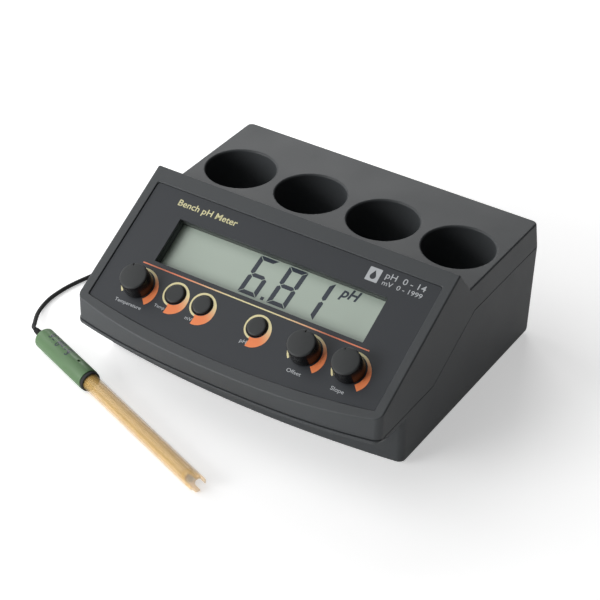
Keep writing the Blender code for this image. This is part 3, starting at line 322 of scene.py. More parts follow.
def control():
    """Glossy black sides below a matte dark grey top, by the shape's own shade."""
    finish = Finish("control_plastic", (0.02, 0.02, 0.02), Specular_IOR_Level=0.4)
    shade = finish.add("ShaderNodeAttribute", {"attribute_name": "shade"}, output="Fac")
    sand = finish.noise(0.0003, 2.0)
    finish.set("Base Color", finish.blend(shade, (0.006, 0.006, 0.007), (0.030, 0.033, 0.034)))
    finish.set("Roughness", 0.22 + 0.26 * shade + 0.06 * sand)
    finish.bump(sand, 0.000010)
    return finish.material


CONTROL = control()
DISPLAY = display()
print("inks and display made")

# %% [markdown]
# ## Mesh tools
#
# Three ways of making a solid cover this object.  `loft` runs skin through sections with equally many
# points, `turned` spins a profile about Z, and a Boolean cuts one solid with another.  `rounded` puts an
# arc at each corner of an outline, because a moulded edge is never sharp and a sharp one never catches
# the light.

# %% Mesh tools
def loft(sections):
    """A closed mesh through sections, flat at both ends."""
    bm = bmesh.new()
    rings = [[bm.verts.new(point) for point in section] for section in sections]
    for ring, following in zip(rings, rings[1:]):
        for i in range(len(ring)):
            j = (i + 1) % len(ring)
            bm.faces.new((ring[i], ring[j], following[j], following[i]))
    bm.faces.new(rings[0])
    bm.faces.new(rings[-1])
    return bm


def turned(profile, sides=96):
    """A (radius, height) profile spun about Z: closed at the axis, or a ring."""
    bm = bmesh.new()
    columns = []
    poles = {}
    for step in range(sides):
        angle = 2 * math.pi * step / sides
        column = []
        for index, (radius, height) in enumerate(profile):
            if radius > 0:
                spot = (radius * math.cos(angle), radius * math.sin(angle), height)
                column.append(bm.verts.new(spot))
            else:
                if index not in poles:
                    poles[index] = bm.verts.new((0, 0, height))
                column.append(poles[index])
        columns.append(column)
    count = len(profile)
    edges = count - 1 if poles else count
    for step, column in enumerate(columns):
        following = columns[(step + 1) % sides]
        for i in range(edges):
            j = (i + 1) % count
            corners = []
            for vert in (column[i], following[i], following[j], column[j]):
                if vert not in corners:
                    corners.append(vert)
            bm.faces.new(corners)
    return bm


def rod(radius, low, high, sides=64):
    """A plain round bar along Z."""
    return turned([(0, low), (radius, low), (radius, high), (0, high)], sides)


def rounded(points, radii, steps=5):
    """The outline with an arc of its own radius at each corner, or the plain corner for radius 0."""
    outline = []
    for i, (point, radius) in enumerate(zip(points, radii)):
        here = Vector(point)
        if not radius:
            outline.append(tuple(here))
            continue
        before = (Vector(points[i - 1]) - here).normalized()
        after = (Vector(points[(i + 1) % len(points)]) - here).normalized()
        half = before.angle(after) / 2
        centre = here + (before + after).normalized() * radius / math.sin(half)
        start = here + before * radius / math.tan(half) - centre
        end = here + after * radius / math.tan(half) - centre
        first = math.atan2(start.y, start.x)
        sweep = math.atan2(end.y, end.x) - first
        sweep = (sweep + math.pi) % (2 * math.pi) - math.pi
        for step in range(steps + 1):
            angle = first + sweep * step / steps
            outline.append((centre.x + radius * math.cos(angle), centre.y + radius * math.sin(angle)))
    return outline


def prism(outline, levels):
    """The outline carried through levels, each a height, or a height and its own outline."""
    sections = []
    for level in levels:
        height, shape = level if isinstance(level, tuple) else (level, outline)
        sections.append([(x, y, height) for x, y in shape])
    return loft(sections)


def block(size, centre, edge=0.0, steps=3):
    """A box, with its edges rounded."""
    bm = bmesh.new()
    bmesh.ops.create_cube(bm, size=1.0)
    bmesh.ops.scale(bm, vec=size, verts=bm.verts)
    if edge:
        bmesh.ops.bevel(bm, geom=bm.edges[:], offset=edge, segments=steps, profile=0.5, affect="EDGES")
    bmesh.ops.translate(bm, vec=centre, verts=bm.verts)
    return bm


def rectangle(width, height, centre=(0.0, 0.0)):
    x, y = centre
    left, right = x - width / 2, x + width / 2
    low, high = y - height / 2, y + height / 2
    return [(left, low), (right, low), (right, high), (left, high)]


def moved(bm, matrix):
    bmesh.ops.transform(bm, matrix=matrix, verts=bm.verts)
    return bm


def together(parts):
    """Several bmeshes as one, each with its faces out."""
    whole = bmesh.new()
    for part in parts:
        bmesh.ops.recalc_face_normals(part, faces=part.faces)
        mesh = bpy.data.meshes.new("part")
        part.to_mesh(mesh)
        part.free()
        whole.from_mesh(mesh)
        bpy.data.meshes.remove(mesh)
    return whole


def raw(name, bm):
    """A bmesh as a plain object, such as a cutter."""
    bmesh.ops.recalc_face_normals(bm, faces=bm.faces)
    mesh = bpy.data.meshes.new(name)
    bm.to_mesh(mesh)
    bm.free()
    thing = bpy.data.objects.new(name, mesh)
    bpy.context.scene.collection.objects.link(thing)
    return thing


def baked(thing):
    """Works out the object's modifiers into its mesh."""
    depsgraph = bpy.context.evaluated_depsgraph_get()
    mesh = bpy.data.meshes.new_from_object(thing.evaluated_get(depsgraph))
    thing.modifiers.clear()
    old = thing.data
    thing.data = mesh
    mesh.name = thing.name
    if old.users == 0:
        bpy.data.meshes.remove(old)
    return thing


def worked(thing, tools):
    """The object after each tool in turn is joined to it, cut from it or crossed with it."""
    helpers = []
    for tool, operation in tools:
        helper = raw("tool", tool)
        helpers.append(helper)
        modifier = thing.modifiers.new("carve", "BOOLEAN")
        modifier.operation = operation
        modifier.solver = "EXACT"
        modifier.object = helper
    baked(thing)
    for helper in helpers:
        bpy.data.objects.remove(helper)
    return thing


def carved(name, bm, cuts=(), unions=()):
    """The solid with others joined to it and cut from it."""
    joins = [(tool, "UNION") for tool in unions]
    return worked(raw(name, bm), joins + [(tool, "DIFFERENCE") for tool in cuts])


def arc(centre, radius, first, last, steps=6):
    points = []
    for step in range(steps + 1):
        angle = math.radians(first + (last - first) * step / steps)
        points.append((centre[0] + radius * math.cos(angle), centre[1] + radius * math.sin(angle)))
    return points


def piece(thing, finish, body, replaced=(), smooth=35):
    """Finishes an object: its shading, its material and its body."""
    mesh = thing.data
    mesh.materials.clear()
    mesh.materials.append(finish)
    if smooth:
        mesh.shade_smooth()
        mesh.set_sharp_from_angle(angle=math.radians(smooth))
    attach(thing, body)
    if replaced:
        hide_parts(*replaced)
    return thing


def flat_shading_kept(thing):
    """Normals weighted by face area, so a flat face stays flat beside its rounded edges."""
    modifier = thing.modifiers.new("weighted", "WEIGHTED_NORMAL")
    modifier.keep_sharp = True
    modifier.weight = 100
    return baked(thing)


# %% [markdown]
# ## The cable
#
# The electrode's cable is one metre of thin black lead.  It leaves the plug at the back, drops to the
# table, winds five and a half turns behind the meter, where the spare length is tied up, and runs
# round the left side to the electrode.  The free stretches are points listed on a smooth curve.  The
# coil is worked out turn by turn: three turns side by side on the top, three below.

# %% The cable's line
CABLE_RADIUS = 1.5 * MM
TAIL_ROUTE = [
    (-0.0700, 0.1451, 0.0335),
    (-0.0699, 0.1510, 0.0331),
    (-0.0690, 0.1568, 0.0308),
    (-0.0668, 0.1612, 0.0262),
    (-0.0632, 0.1636, 0.0204),
    (-0.0582, 0.1646, 0.0146),
    (-0.0520, 0.1644, 0.0100),
    (-0.0445, 0.1636, 0.0072),
    (-0.0355, 0.1628, 0.0060),
    (-0.0255, 0.1624, 0.0056),
    (-0.0150, 0.1623, 0.0056),
]
RUN_ROUTE = [
    (-0.1622, -0.0983, 0.0085),
    (-0.1662, -0.0957, 0.0077),
    (-0.1693, -0.0910, 0.0063),
    (-0.1730, -0.0856, 0.0048),
    (-0.1785, -0.0763, 0.0028),
    (-0.1820, -0.0665, 0.0018),
    (-0.1836, -0.0560, 0.0016),
    (-0.1832, -0.0455, 0.0016),
    (-0.1816, -0.0350, 0.0016),
    (-0.1785, -0.0235, 0.0016),
    (-0.1735, -0.0070, 0.0016),
    (-0.1670, 0.0160, 0.0016),
    (-0.1600, 0.0400, 0.0016),
    (-0.1520, 0.0640, 0.0016),
    (-0.1410, 0.0860, 0.0016),
    (-0.1260, 0.1040, 0.0016),
    (-0.1060, 0.1145, 0.0016),
    (-0.0830, 0.1180, 0.0016),
    (-0.0580, 0.1180, 0.0017),
    (-0.0350, 0.1170, 0.0021),
    (-0.0150, 0.1167, 0.0026),
]
coil_low, coil_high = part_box("cable_coil")
COIL_CENTRE = (coil_low + coil_high) / 2
COIL_OUTER = (coil_high.x - coil_low.x) / 2
TURNS = 5.5
COIL_STEPS = 156
SHIFT_SHARE = 0.25  # the part of a turn in which the cable moves over to the next lane
END_LANE = 1.1  # the first and last lanes are a little wider than the cable


def eased(value, start, end):
    """0 before start, 1 after end and smooth between."""
    share = min(max((value - start) / (end - start), 0.0), 1.0)
    return share * share * (3 - 2 * share)


def coil_point(turn):
    """The cable's middle after so many turns, clockwise from above."""
    thick = 2 * CABLE_RADIUS
    step_in = eased(turn, 0, SHIFT_SHARE) * END_LANE
    step_in += eased(turn, 1, 1 + SHIFT_SHARE) + eased(turn, 2, 2 + SHIFT_SHARE)
    step_out = eased(turn, 3.5, 3.5 + SHIFT_SHARE) + eased(turn, 4.5, 4.5 + SHIFT_SHARE)
    step_out += eased(turn, TURNS - SHIFT_SHARE, TURNS) * END_LANE
    radius = COIL_OUTER + 1.2 * CABLE_RADIUS - (step_in - step_out) * thick
    top = coil_high.z - CABLE_RADIUS
    height = top + 0.1 * MM - eased(turn, 3 - SHIFT_SHARE, 3) * thick
    angle = math.pi / 2 - 2 * math.pi * turn
    return (COIL_CENTRE.x + radius * math.cos(angle), COIL_CENTRE.y + radius * math.sin(angle), height)


def smooth_line(route, spacing):
    """Points about that far apart on a smooth curve through the route's points."""
    points = [Vector(point) for point in route]
    ends = [points[0] * 2 - points[1]] + points + [points[-1] * 2 - points[-2]]
    line = []
    for before, start, end, after in zip(ends, ends[1:], ends[2:], ends[3:]):
        steps = max(1, round((end - start).length / spacing))
        for i in range(steps):
            t = i / steps
            linear = 2 * start + (end - before) * t
            square = (2 * before - 5 * start + 4 * end - after) * t * t
            cube = (3 * start - before - 3 * end + after) * t * t * t
            line.append(0.5 * (linear + square + cube))
    return line + [points[-1]]


def add_cable():
    coil = [coil_point(TURNS * i / COIL_STEPS) for i in range(1, COIL_STEPS)]
    route = TAIL_ROUTE + coil + list(reversed(RUN_ROUTE))
    line = smooth_line(route, 3 * MM)
    curve = bpy.data.curves.new("cable", "CURVE")
    curve.dimensions = "3D"
    curve.bevel_depth = CABLE_RADIUS
    curve.bevel_resolution = 4
    curve.use_fill_caps = True
    spline = curve.splines.new("POLY")
    spline.points.add(len(line) - 1)
    for point, spot in zip(spline.points, line):
        point.co = (*spot, 1.0)
    curve.materials.append(RUBBER)
    cable = bpy.data.objects.new("electrode_cable", curve)
    bpy.context.scene.collection.objects.link(cable)
    length = sum((b - a).length for a, b in zip(line, line[1:]))
    print("cable line is %.3f m long, in %d points" % (length, len(line)))
    return cable


cable = add_cable()
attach(cable, "case")
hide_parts("cable_run", "cable_tail", "cable_coil")

# %% [markdown]
# ## The case
#
# The cover is lofted across the meter's width.  At each station its section is the wedge's outline, and
# near the two sides every edge of that outline moves in along a quarter circle: by a few millimetres
# for the front and back walls, whose upright corners are rounded, and by a little for the rest.  The
# wells, the panel's recess and the holes are then cut out, with tools whose own tops flare, so that each
# mouth has a soft lip.

# %% The case's sizes
GAP = 0.3 * MM
OVERCUT = 5 * MM
COVER_WALL = 3 * MM
PANEL_WALL = 4 * MM
FLOOR_WALL = 5 * MM
cover_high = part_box("top_cover")[1]
base_low, base_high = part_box("base_tub")
HALF = cover_high.x
BOTTOM_Z = base_low.z
well_boxes = [opening["box_m"] for opening in frame["record"]["physics"]["openings"]]
DECK_Z = well_boxes[0][1][2] - 1 * MM  # a well's box ends a millimetre above the deck
FRONT_SEAM_Z = BOTTOM_Z + 40 * MM
BACK_SEAM_Z = base_high.z + GAP
FRONT_Y = RIDGE_Y - 104.9 * MM
FRONT_BOW = 10.8 * MM
BOW_POWER = 2.6  # the front is flatter in the middle than an arc
CORNER = 4.5 * MM
NOTCH_Y = RIDGE_Y + 16.3 * MM
DECK_BACK_Y = RIDGE_Y + 112.3 * MM
BACK_Y = cover_high.y
SEAM_STEP_Y = RIDGE_Y + 24.6 * MM
SEAM_FOOT_Y = SEAM_STEP_Y - (BACK_SEAM_Z - FRONT_SEAM_Z) / math.tan(PANEL_ANGLE)
print("deck at z %.4f, seams at z %.4f and %.4f" % (DECK_Z, FRONT_SEAM_Z, BACK_SEAM_Z))


def quarter(x, radius):
    """How far an edge of that radius is drawn in at x, near the sides."""
    beyond = min(max(0.0, abs(x) - (HALF - radius)), radius)
    return radius - math.sqrt(radius * radius - beyond * beyond)


def stations(edge):
    """Places across the case, close together where the corners turn."""
    middle = [(HALF - CORNER) * (i / 14 - 1) for i in range(29)]
    turns = set()
    for radius in (CORNER, edge):
        for i in range(1, 9):
            turns.add(round(HALF - radius + radius * math.sin(math.pi / 2 * i / 8), 7))
    return sorted([-x for x in turns] + middle + list(turns))


def inner_stations():
    """Places across the room inside the case."""
    return [(HALF - COVER_WALL) * (i / 6 - 1) for i in range(13)]


def slope_z(y):
    return RIDGE_Z + (y - RIDGE_Y) * math.tan(PANEL_ANGLE)


def front_y(x):
    return FRONT_Y + FRONT_BOW * abs(x / HALF) ** BOW_POWER


def inset(outline, distances):
    """A (y, z) outline with each edge moved in by its own distance."""
    count = len(outline)
    area = 0
    for (y, z), (next_y, next_z) in zip(outline, outline[1:] + outline[:1]):
        area += y * next_z - next_y * z
    side = 1 if area > 0 else -1
    lines = []
    for i, distance in enumerate(distances):
        start = Vector(outline[i])
        along = (Vector(outline[(i + 1) % count]) - start).normalized()
        lines.append((start + Vector((-along.y, along.x)) * side * distance, along))
    points = []
    for i in range(count):
        (here, along), (there, towards) = lines[i - 1], lines[i]
        cross = along.x * towards.y - along.y * towards.x
        offset = there - here
        points.append(tuple(here + along * (offset.x * towards.y - offset.y * towards.x) / cross))
    return points


def cover_outline(x):
    front = front_y(x)
    return [
        (front, FRONT_SEAM_Z),
        (front, slope_z(front)),
        (RIDGE_Y, RIDGE_Z),
        (NOTCH_Y, DECK_Z),
        (DECK_BACK_Y, DECK_Z),
        (BACK_Y, BACK_SEAM_Z),
        (SEAM_STEP_Y, BACK_SEAM_Z),
        (SEAM_FOOT_Y, FRONT_SEAM_Z),
    ]


TOP_EDGE = 1.2 * MM
SEAM_EDGE = 0.35 * MM
COVER_RADII = [radius * MM for radius in (0.35, 1.6, 0.9, 0.9, 2.0, 0.35, 0.5, 0.5)]


def cover_solid():
    sections = []
    for x in stations(TOP_EDGE):
        wall, top, seam = quarter(x, CORNER), quarter(x, TOP_EDGE), quarter(x, SEAM_EDGE)
        shape = inset(cover_outline(x), [wall, top, top, top, wall, seam, seam, seam])
        sections.append([(x, y, z) for y, z in rounded(shape, COVER_RADII)])
    return loft(sections)


def hollow_solid():
    """The room inside the cover."""
    walls = [COVER_WALL, PANEL_WALL, COVER_WALL, COVER_WALL, COVER_WALL, -OVERCUT, -OVERCUT, -OVERCUT]
    sections = []
    for x in inner_stations():
        sections.append([(x, y, z) for y, z in inset(cover_outline(x), walls)])
    return loft(sections)


# %% Wells, recess and holes
WELL_RADIUS = 25 * MM
WELL_RIM = 1.5 * MM
WELL_FILLET = 3 * MM
WELL_FLOOR = DECK_Z - 45 * MM
CUP_WALL = 2.2 * MM
CUP_TOP = DECK_Z - 1.5 * MM
RECESS_LIP = 0.4 * MM
BUTTON_HOLE = 7.2 * MM
SHAFT_HOLE = 4.9 * MM
well_places = sorted({(round((a[0] + b[0]) / 2, 4), round((a[1] + b[1]) / 2, 4)) for a, b in well_boxes})
print("wells at", well_places)

OVERLAY_HALF = 110.4 * MM
OVERLAY_TOP = 11.75 * MM
OVERLAY_BOTTOM = 113.3 * MM
OVERLAY_BOW = 9.3 * MM
OVERLAY_FACE = -0.94 * MM
RECESS_DEPTH = 1.74 * MM
PANEL_CORNER = 1.8 * MM
WINDOW_HALF = 80.75 * MM
WINDOW_TOP = 31.1 * MM
WINDOW_BOTTOM = 65.5 * MM
BUTTONS = ("temp", "mv", "ph")
KNOBS = ("temperature", "offset", "slope")


def on_panel(node):
    """The middle of a CAD piece, in the panel's own frame."""
    low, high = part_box(node)
    return PANEL.inverted() @ ((low + high) / 2)


button_places = {name: on_panel(name + "_button").to_2d() for name in BUTTONS}
knob_places = {}
for name in KNOBS:
    knob_places[name] = (PANEL.inverted() @ Vector(joints[name + "_turn"]["pos_m"])).to_2d()


def overlay_outline(margin):
    half = OVERLAY_HALF + margin
    points = [(half, margin - OVERLAY_TOP), (-half, margin - OVERLAY_TOP)]
    radii = [PANEL_CORNER, PANEL_CORNER]
    for i in range(25):
        share = i / 12 - 1
        points.append((share * half, OVERLAY_BOW * share * share - OVERLAY_BOTTOM - margin))
        radii.append(PANEL_CORNER if abs(share) == 1 else 0)
    return rounded(points, radii)


def flared(radius, low, lip=0.25 * MM, top=0.0):
    """A round cutter that opens out over the last bit below the surface."""
    wide, end = radius + lip, top + OVERCUT
    return [(0, low), (radius, low), (radius, top - lip), (wide, top), (wide, end), (0, end)]


def window_outline(margin):
    height = WINDOW_BOTTOM - WINDOW_TOP + 2 * margin
    centre = (0, -(WINDOW_TOP + WINDOW_BOTTOM) / 2)
    corner = 0.6 * MM + margin
    return rounded(rectangle(2 * (WINDOW_HALF + margin), height, centre), [corner] * 4, 4)


def at_wells(profile):
    """The same turning at each well."""
    return together([moved(turned(profile, 128), Matrix.Translation((x, y, 0))) for x, y in well_places])


def well_cuts():
    rim_centre = (WELL_RADIUS + WELL_RIM, DECK_Z - WELL_RIM)
    fillet_centre = (WELL_RADIUS - WELL_FILLET, WELL_FLOOR + WELL_FILLET)
    profile = [(0, WELL_FLOOR)] + arc(fillet_centre, WELL_FILLET, -90, 0)
    profile += arc(rim_centre, WELL_RIM, 180, 90)
    profile += [(WELL_RADIUS + WELL_RIM, DECK_Z + OVERCUT), (0, DECK_Z + OVERCUT)]
    return at_wells(profile)


def recess_cut():
    wide = overlay_outline(GAP + RECESS_LIP)
    levels = [-RECESS_DEPTH, -RECESS_LIP, (0.0, wide), (OVERCUT, wide)]
    return moved(prism(overlay_outline(GAP), levels), PANEL)


def panel_cuts():
    """The window and the holes for the controls."""
    deep = -PANEL_WALL - OVERCUT
    holes = [prism(window_outline(GAP), [deep, 0])]
    for places, radius in ((button_places, BUTTON_HOLE), (knob_places, SHAFT_HOLE)):
        for place in places.values():
            holes.append(moved(turned(flared(radius, deep), 64), Matrix.Translation((*place, 0))))
    return moved(together(holes), PANEL)


def well_cups():
    """The cups that line the wells."""
    wall, low = WELL_RADIUS + CUP_WALL, WELL_FLOOR - CUP_WALL
    return at_wells([(0, low), (wall, low), (wall, CUP_TOP), (0, CUP_TOP)])


# %% The cover
cover = carved("case_cover", cover_solid(), cuts=[hollow_solid()])
cuts = [(cut, "DIFFERENCE") for cut in (well_cuts(), recess_cut(), panel_cuts())]
worked(cover, [(well_cups(), "UNION")] + cuts)
piece(cover, CASE, "case", ["top_cover"])
flat_shading_kept(cover)
print("cover has", len(cover.data.polygons), "faces")

# %% [markdown]
# ## The base
#
# The base stands back under a shelf that ends in a small lip, so the nose seems to float.  It is lofted
# like the cover.  A flat is sunk into its back, with holes for the input, the supply and the switch.

# %% The base
BASE_FRONT_Y = RIDGE_Y - 72 * MM
BASE_BACK_Y = RIDGE_Y + 114.6 * MM
BASE_BOW = 8.8 * MM
SHELF = 3.2 * MM
LIP = 2.4 * MM
LIP_OUT = 1.0 * MM


def base_outline(x):
    foot = BASE_FRONT_Y + BASE_BOW * (x / HALF) ** 2
    lip = front_y(x) - LIP_OUT
    top = FRONT_SEAM_Z - GAP
    under = top - SHELF
    return [
        (foot, BOTTOM_Z),
        (foot, under),
        (lip + LIP, under),
        (lip, under + LIP / 2),
        (lip, top),
        (SEAM_FOOT_Y, top),
        (SEAM_STEP_Y, BACK_SEAM_Z - GAP),
        (BACK_Y, BACK_SEAM_Z - GAP),
        (BASE_BACK_Y, BOTTOM_Z),
    ]


BASE_RADII = [radius * MM for radius in (2.0, 1.5, 0.6, 0.5, 0.35, 0.5, 0.5, 0.35, 2.0)]
FLAT_Y = RIDGE_Y + 113.5 * MM
FLAT_CENTRE = (-15 * MM, BOTTOM_Z + 31 * MM)
FLAT_SIZE = (150 * MM, 36 * MM)
HOUSING_RIM = 1.2 * MM  # the switch's rim covers the edge of its hole by this much


def base_solid():
    sections = []
    for x in stations(TOP_EDGE):
        wall, top, seam = quarter(x, CORNER), quarter(x, TOP_EDGE), quarter(x, SEAM_EDGE)
        shape = inset(base_outline(x), [wall, seam, wall, wall, seam, seam, seam, wall, top])
        sections.append([(x, y, z) for y, z in rounded(shape, BASE_RADII)])
    return loft(sections)


def base_room():
    """The room inside the base, open at the seam, behind the shelf."""
    walls = [COVER_WALL, -OVERCUT, -OVERCUT, -OVERCUT, FLOOR_WALL, COVER_WALL]
    sections = []
    for x in inner_stations():
        points = base_outline(x)
        outline = [points[0], (points[1][0], points[4][1])] + points[5:]
        sections.append([(x, y, z) for y, z in inset(outline, walls)])
    return loft(sections)


boot_low, boot_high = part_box("bnc_plug_boot")
BNC = Matrix.Translation(((boot_low.x + boot_high.x) / 2, FLAT_Y, (boot_low.z + boot_high.z) / 2))
BNC = BNC @ Matrix.Rotation(-math.pi / 2, 4, "X")
SOCKET_HOLE = 6.5 * MM


def rear_cuts():
    """The flat sunk into the back, and the holes in it."""
    flat = rounded(rectangle(*FLAT_SIZE, FLAT_CENTRE), [2 * MM] * 4)
    cuts = [loft([[(x, y, z) for x, z in flat] for y in (FLAT_Y, FLAT_Y + 10 * MM)])]
    for node, margin in (("power_inlet", GAP), ("power_switch_housing", -HOUSING_RIM)):
        low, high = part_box(node)
        size = (high.x - low.x + 2 * margin, 24 * MM, high.z - low.z + 2 * margin)
        cuts.append(block(size, ((low.x + high.x) / 2, FLAT_Y, (low.z + high.z) / 2)))
    cuts.append(moved(rod(SOCKET_HOLE, -12 * MM, 12 * MM), BNC))
    return cuts


base = carved("case_base", base_solid(), cuts=[base_room()] + rear_cuts())
piece(base, CASE, "case", ["base_tub"])
flat_shading_kept(base)
print("base has", len(base.data.polygons), "faces")

# %% [markdown]
# ## The panel's film and its prints
#
# A printed film lies in the panel's recess, with holes for the window and the controls.  The prints are
# very thin solids on it: a line below the window, a ring about each control that swells towards its
# lower right, and small labels.  A ring's outer edge is given at a few angles and a smooth curve joins
# them.

# %% Film
PRINT = 0.03 * MM
FILM_THICK = 0.5 * MM
FILM_KNOB_HOLE = 7.5 * MM
FILM_HOLES = [(place, BUTTON_HOLE) for place in button_places.values()]
FILM_HOLES += [(place, FILM_KNOB_HOLE) for place in knob_places.values()]


def add_film():
    low = OVERLAY_FACE - FILM_THICK
    cuts = [prism(window_outline(0.0), [low - OVERCUT, OVERLAY_FACE + OVERCUT])]
    for place, radius in FILM_HOLES:
        profile = flared(radius, low - OVERCUT, 0.1 * MM, OVERLAY_FACE)
        cuts.append(moved(turned(profile, 64), Matrix.Translation((*place, 0))))
    film = carved("panel_film", prism(overlay_outline(0.0), [low, OVERLAY_FACE]), cuts=[together(cuts)])
    film.data.transform(PANEL)
    piece(film, FILM, "case", ["panel_overlay"])
    flat_shading_kept(film)


add_film()


def printed(name, bm, finish, shade=None):
    """A thin print drawn on the panel: each vertex takes its shade before the drawing is tilted."""
    thing = raw(name, bm)
    if shade:
        layer = thing.data.attributes.new("shade", "FLOAT", "POINT")
        for vertex, item in zip(thing.data.vertices, layer.data):
            item.value = shade(vertex.co.x, vertex.co.y)
    thing.data.transform(PANEL)
    return piece(thing, finish, "case", smooth=None)


# %% Rings and the line
BUTTON_RING_HOLE = 7.7
KNOB_RING_HOLE = 11.3
BUTTON_RING = [
    (-95, 14.6), (-80, 14.6), (-60, 14.0), (-38, 13.0), (-15, 11.5), (13, 10.2), (46, 9.3),
    (90, 9.2), (135, 9.2), (180, 8.9), (225, 9.0), (265, 9.2),
]
KNOB_RING = [
    (-47, 16.3), (-28, 16.2), (-8, 15.4), (13, 14.3), (37, 13.3), (69, 12.9), (97, 12.8),
    (140, 12.6), (180, 12.5), (224, 12.5),
]


def ring(place, inner, edge):
    """A flat ring from its inner radius to an edge of (degrees, radius), both in millimetres."""
    sections = []
    for angle, radius in smooth_line(edge, 3.0):
        way = Vector((math.cos(math.radians(angle)), math.sin(math.radians(angle))))
        near, far = place + way * inner * MM, place + way * radius * MM
        section = [(*near, OVERLAY_FACE), (*far, OVERLAY_FACE)]
        section += [(*far, OVERLAY_FACE + PRINT), (*near, OVERLAY_FACE + PRINT)]
        sections.append(section)
    return loft(sections)


def ring_shade(place, start, end):
    """Cream above the start angle, orange below the end angle."""

    def shade(x, y):
        angle = math.degrees(math.atan2(y - place.y, x - place.x))
        if angle < -100 or angle > 100:
            return 0.0
        return 1 - eased(angle, end, start)

    return shade


for name, place in button_places.items():
    shade = ring_shade(place, 30, -62)
    printed(name + "_ring", ring(place, BUTTON_RING_HOLE, BUTTON_RING), RING_INK, shade)
for name, place in knob_places.items():
    shade = ring_shade(place, 75, 5)
    printed(name + "_ring", ring(place, KNOB_RING_HOLE, KNOB_RING), RING_INK, shade)


LINE_DOWN = 69.1 * MM
LINE_HALF = 87.6 * MM
LINE_WIDE = 0.9 * MM


def line_shade(x, y):
    """Cream in the middle of the line, orange towards its ends."""
    return eased(abs(x), 12 * MM, 62 * MM)


stripe = rectangle(LINE_WIDE, PRINT, (-LINE_DOWN, OVERLAY_FACE + PRINT / 2))
stripes = [[(LINE_HALF * (i / 20 - 1), y, z) for y, z in stripe] for i in range(41)]
printed("panel_line", loft(stripes), LINE_INK, line_shade)
print("rings and line printed")

# %% [markdown]
# ## Lettering
#
# Blender's own typeface sets the labels.  A text is made a mesh, drawn to the width that it should take,
# and laid on the panel.  Only plain words that any such meter carries are used.

# %% Labels
CAPITAL = 0.69  # a capital's height at text size 1


def text_mesh(name, text, left, right, down, slant=0.0, weight=0.0, squash=1.0, level=OVERLAY_FACE):
    """Text from left to right, with the middle of its capitals that far down."""
    curve = bpy.data.curves.new(name, "FONT")
    curve.body = text
    curve.resolution_u = 4
    curve.extrude = 0.5
    curve.offset = weight
    holder = bpy.data.objects.new(name, curve)
    bpy.context.scene.collection.objects.link(holder)
    depsgraph = bpy.context.evaluated_depsgraph_get()
    mesh = bpy.data.meshes.new_from_object(holder.evaluated_get(depsgraph))
    bpy.data.objects.remove(holder)
    xs = [v.co.x for v in mesh.vertices]
    scale = (right - left) / (max(xs) - min(xs))
    capital = CAPITAL * scale * squash
    lean = Matrix.Identity(4)
    lean[0][1] = slant
    size = Matrix.Diagonal((scale, scale * squash, PRINT, 1))
    spot = Matrix.Translation((left - min(xs) * scale, -down - capital / 2, level + PRINT / 2))
    mesh.transform(spot @ size @ lean)
    thing = bpy.data.objects.new(name, mesh)
    bpy.context.scene.collection.objects.link(thing)
    return thing


def lettering(finish, slot, *facts, **more):
    """Text printed on the panel."""
    thing = text_mesh(*facts, **more)
    thing.data.transform(PANEL)
    return piece(thing, finish, "case", smooth=None)


LABELS = [
    ("Temperature", -91.5, -70.5, 100.0),
    ("Temp", -63.3, -55.2, 93.9),
    ("mV", -38.6, -33.2, 94.0),
    ("pH", 4.8, 9.6, 94.2),
    ("Offset", 44.0, 54.6, 100.6),
    ("Slope", 76.8, 86.4, 100.7),
    ("pH  0 - 14", 72.0, 101.0, 17.0),
    ("mV  0 - 1999", 72.0, 101.0, 22.6),
]
for number, (text, left, right, down) in enumerate(LABELS):
    facts = ("label_%d" % number, text, left * MM, right * MM, down * MM)
    lettering(LABEL_INK, "panel_film", *facts, weight=0.004, squash=0.86)
title = ("title", "Bench pH Meter", -88.5 * MM, -41 * MM, 20.0 * MM)
lettering(TITLE_INK, "panel_film", *title, weight=0.014, squash=0.92)


def add_emblem():
    """A plain drop on a light square."""
    centre = Vector((64.0, -19.8)) * MM
    square = rounded(rectangle(9 * MM, 10 * MM, centre), [0.6 * MM] * 4)
    round_part = arc((centre.x, centre.y - 1.2 * MM), 2.1 * MM, 150, 390, 24)
    drop = prism(round_part + [(centre.x, centre.y + 3.4 * MM)], [-OVERCUT, OVERCUT])
    emblem = carved("emblem", prism(square, [OVERLAY_FACE, OVERLAY_FACE + PRINT]), cuts=[drop])
    emblem.data.transform(PANEL)
    piece(emblem, LABEL_INK, "case", smooth=None)


add_emblem()

# %% [markdown]
# ## The display
#
# A liquid-crystal digit is seven segments with mitred ends and a thin gap between neighbours.  The digit
# leans a little.  `SEGMENTS` draws them once, in a cell, and each digit takes the ones it lights.

# %% Digits
CELL_WIDTH = 14.4 * MM
CELL_HEIGHT = 29.4 * MM
CELL_LEAN = 0.077
CELL_PITCH = 22.6 * MM
CELL_LEFT = -19.9 * MM
CELL_BOTTOM = 61.1 * MM
BAR_WIDE = 3.3 * MM
BAR_HIGH = 2.9 * MM
BAR_GAP = 0.32 * MM
glass_corners = nodes["display_glass"].data.vertices
DISPLAY_FACE = max((PANEL.inverted() @ vertex.co).z for vertex in glass_corners)


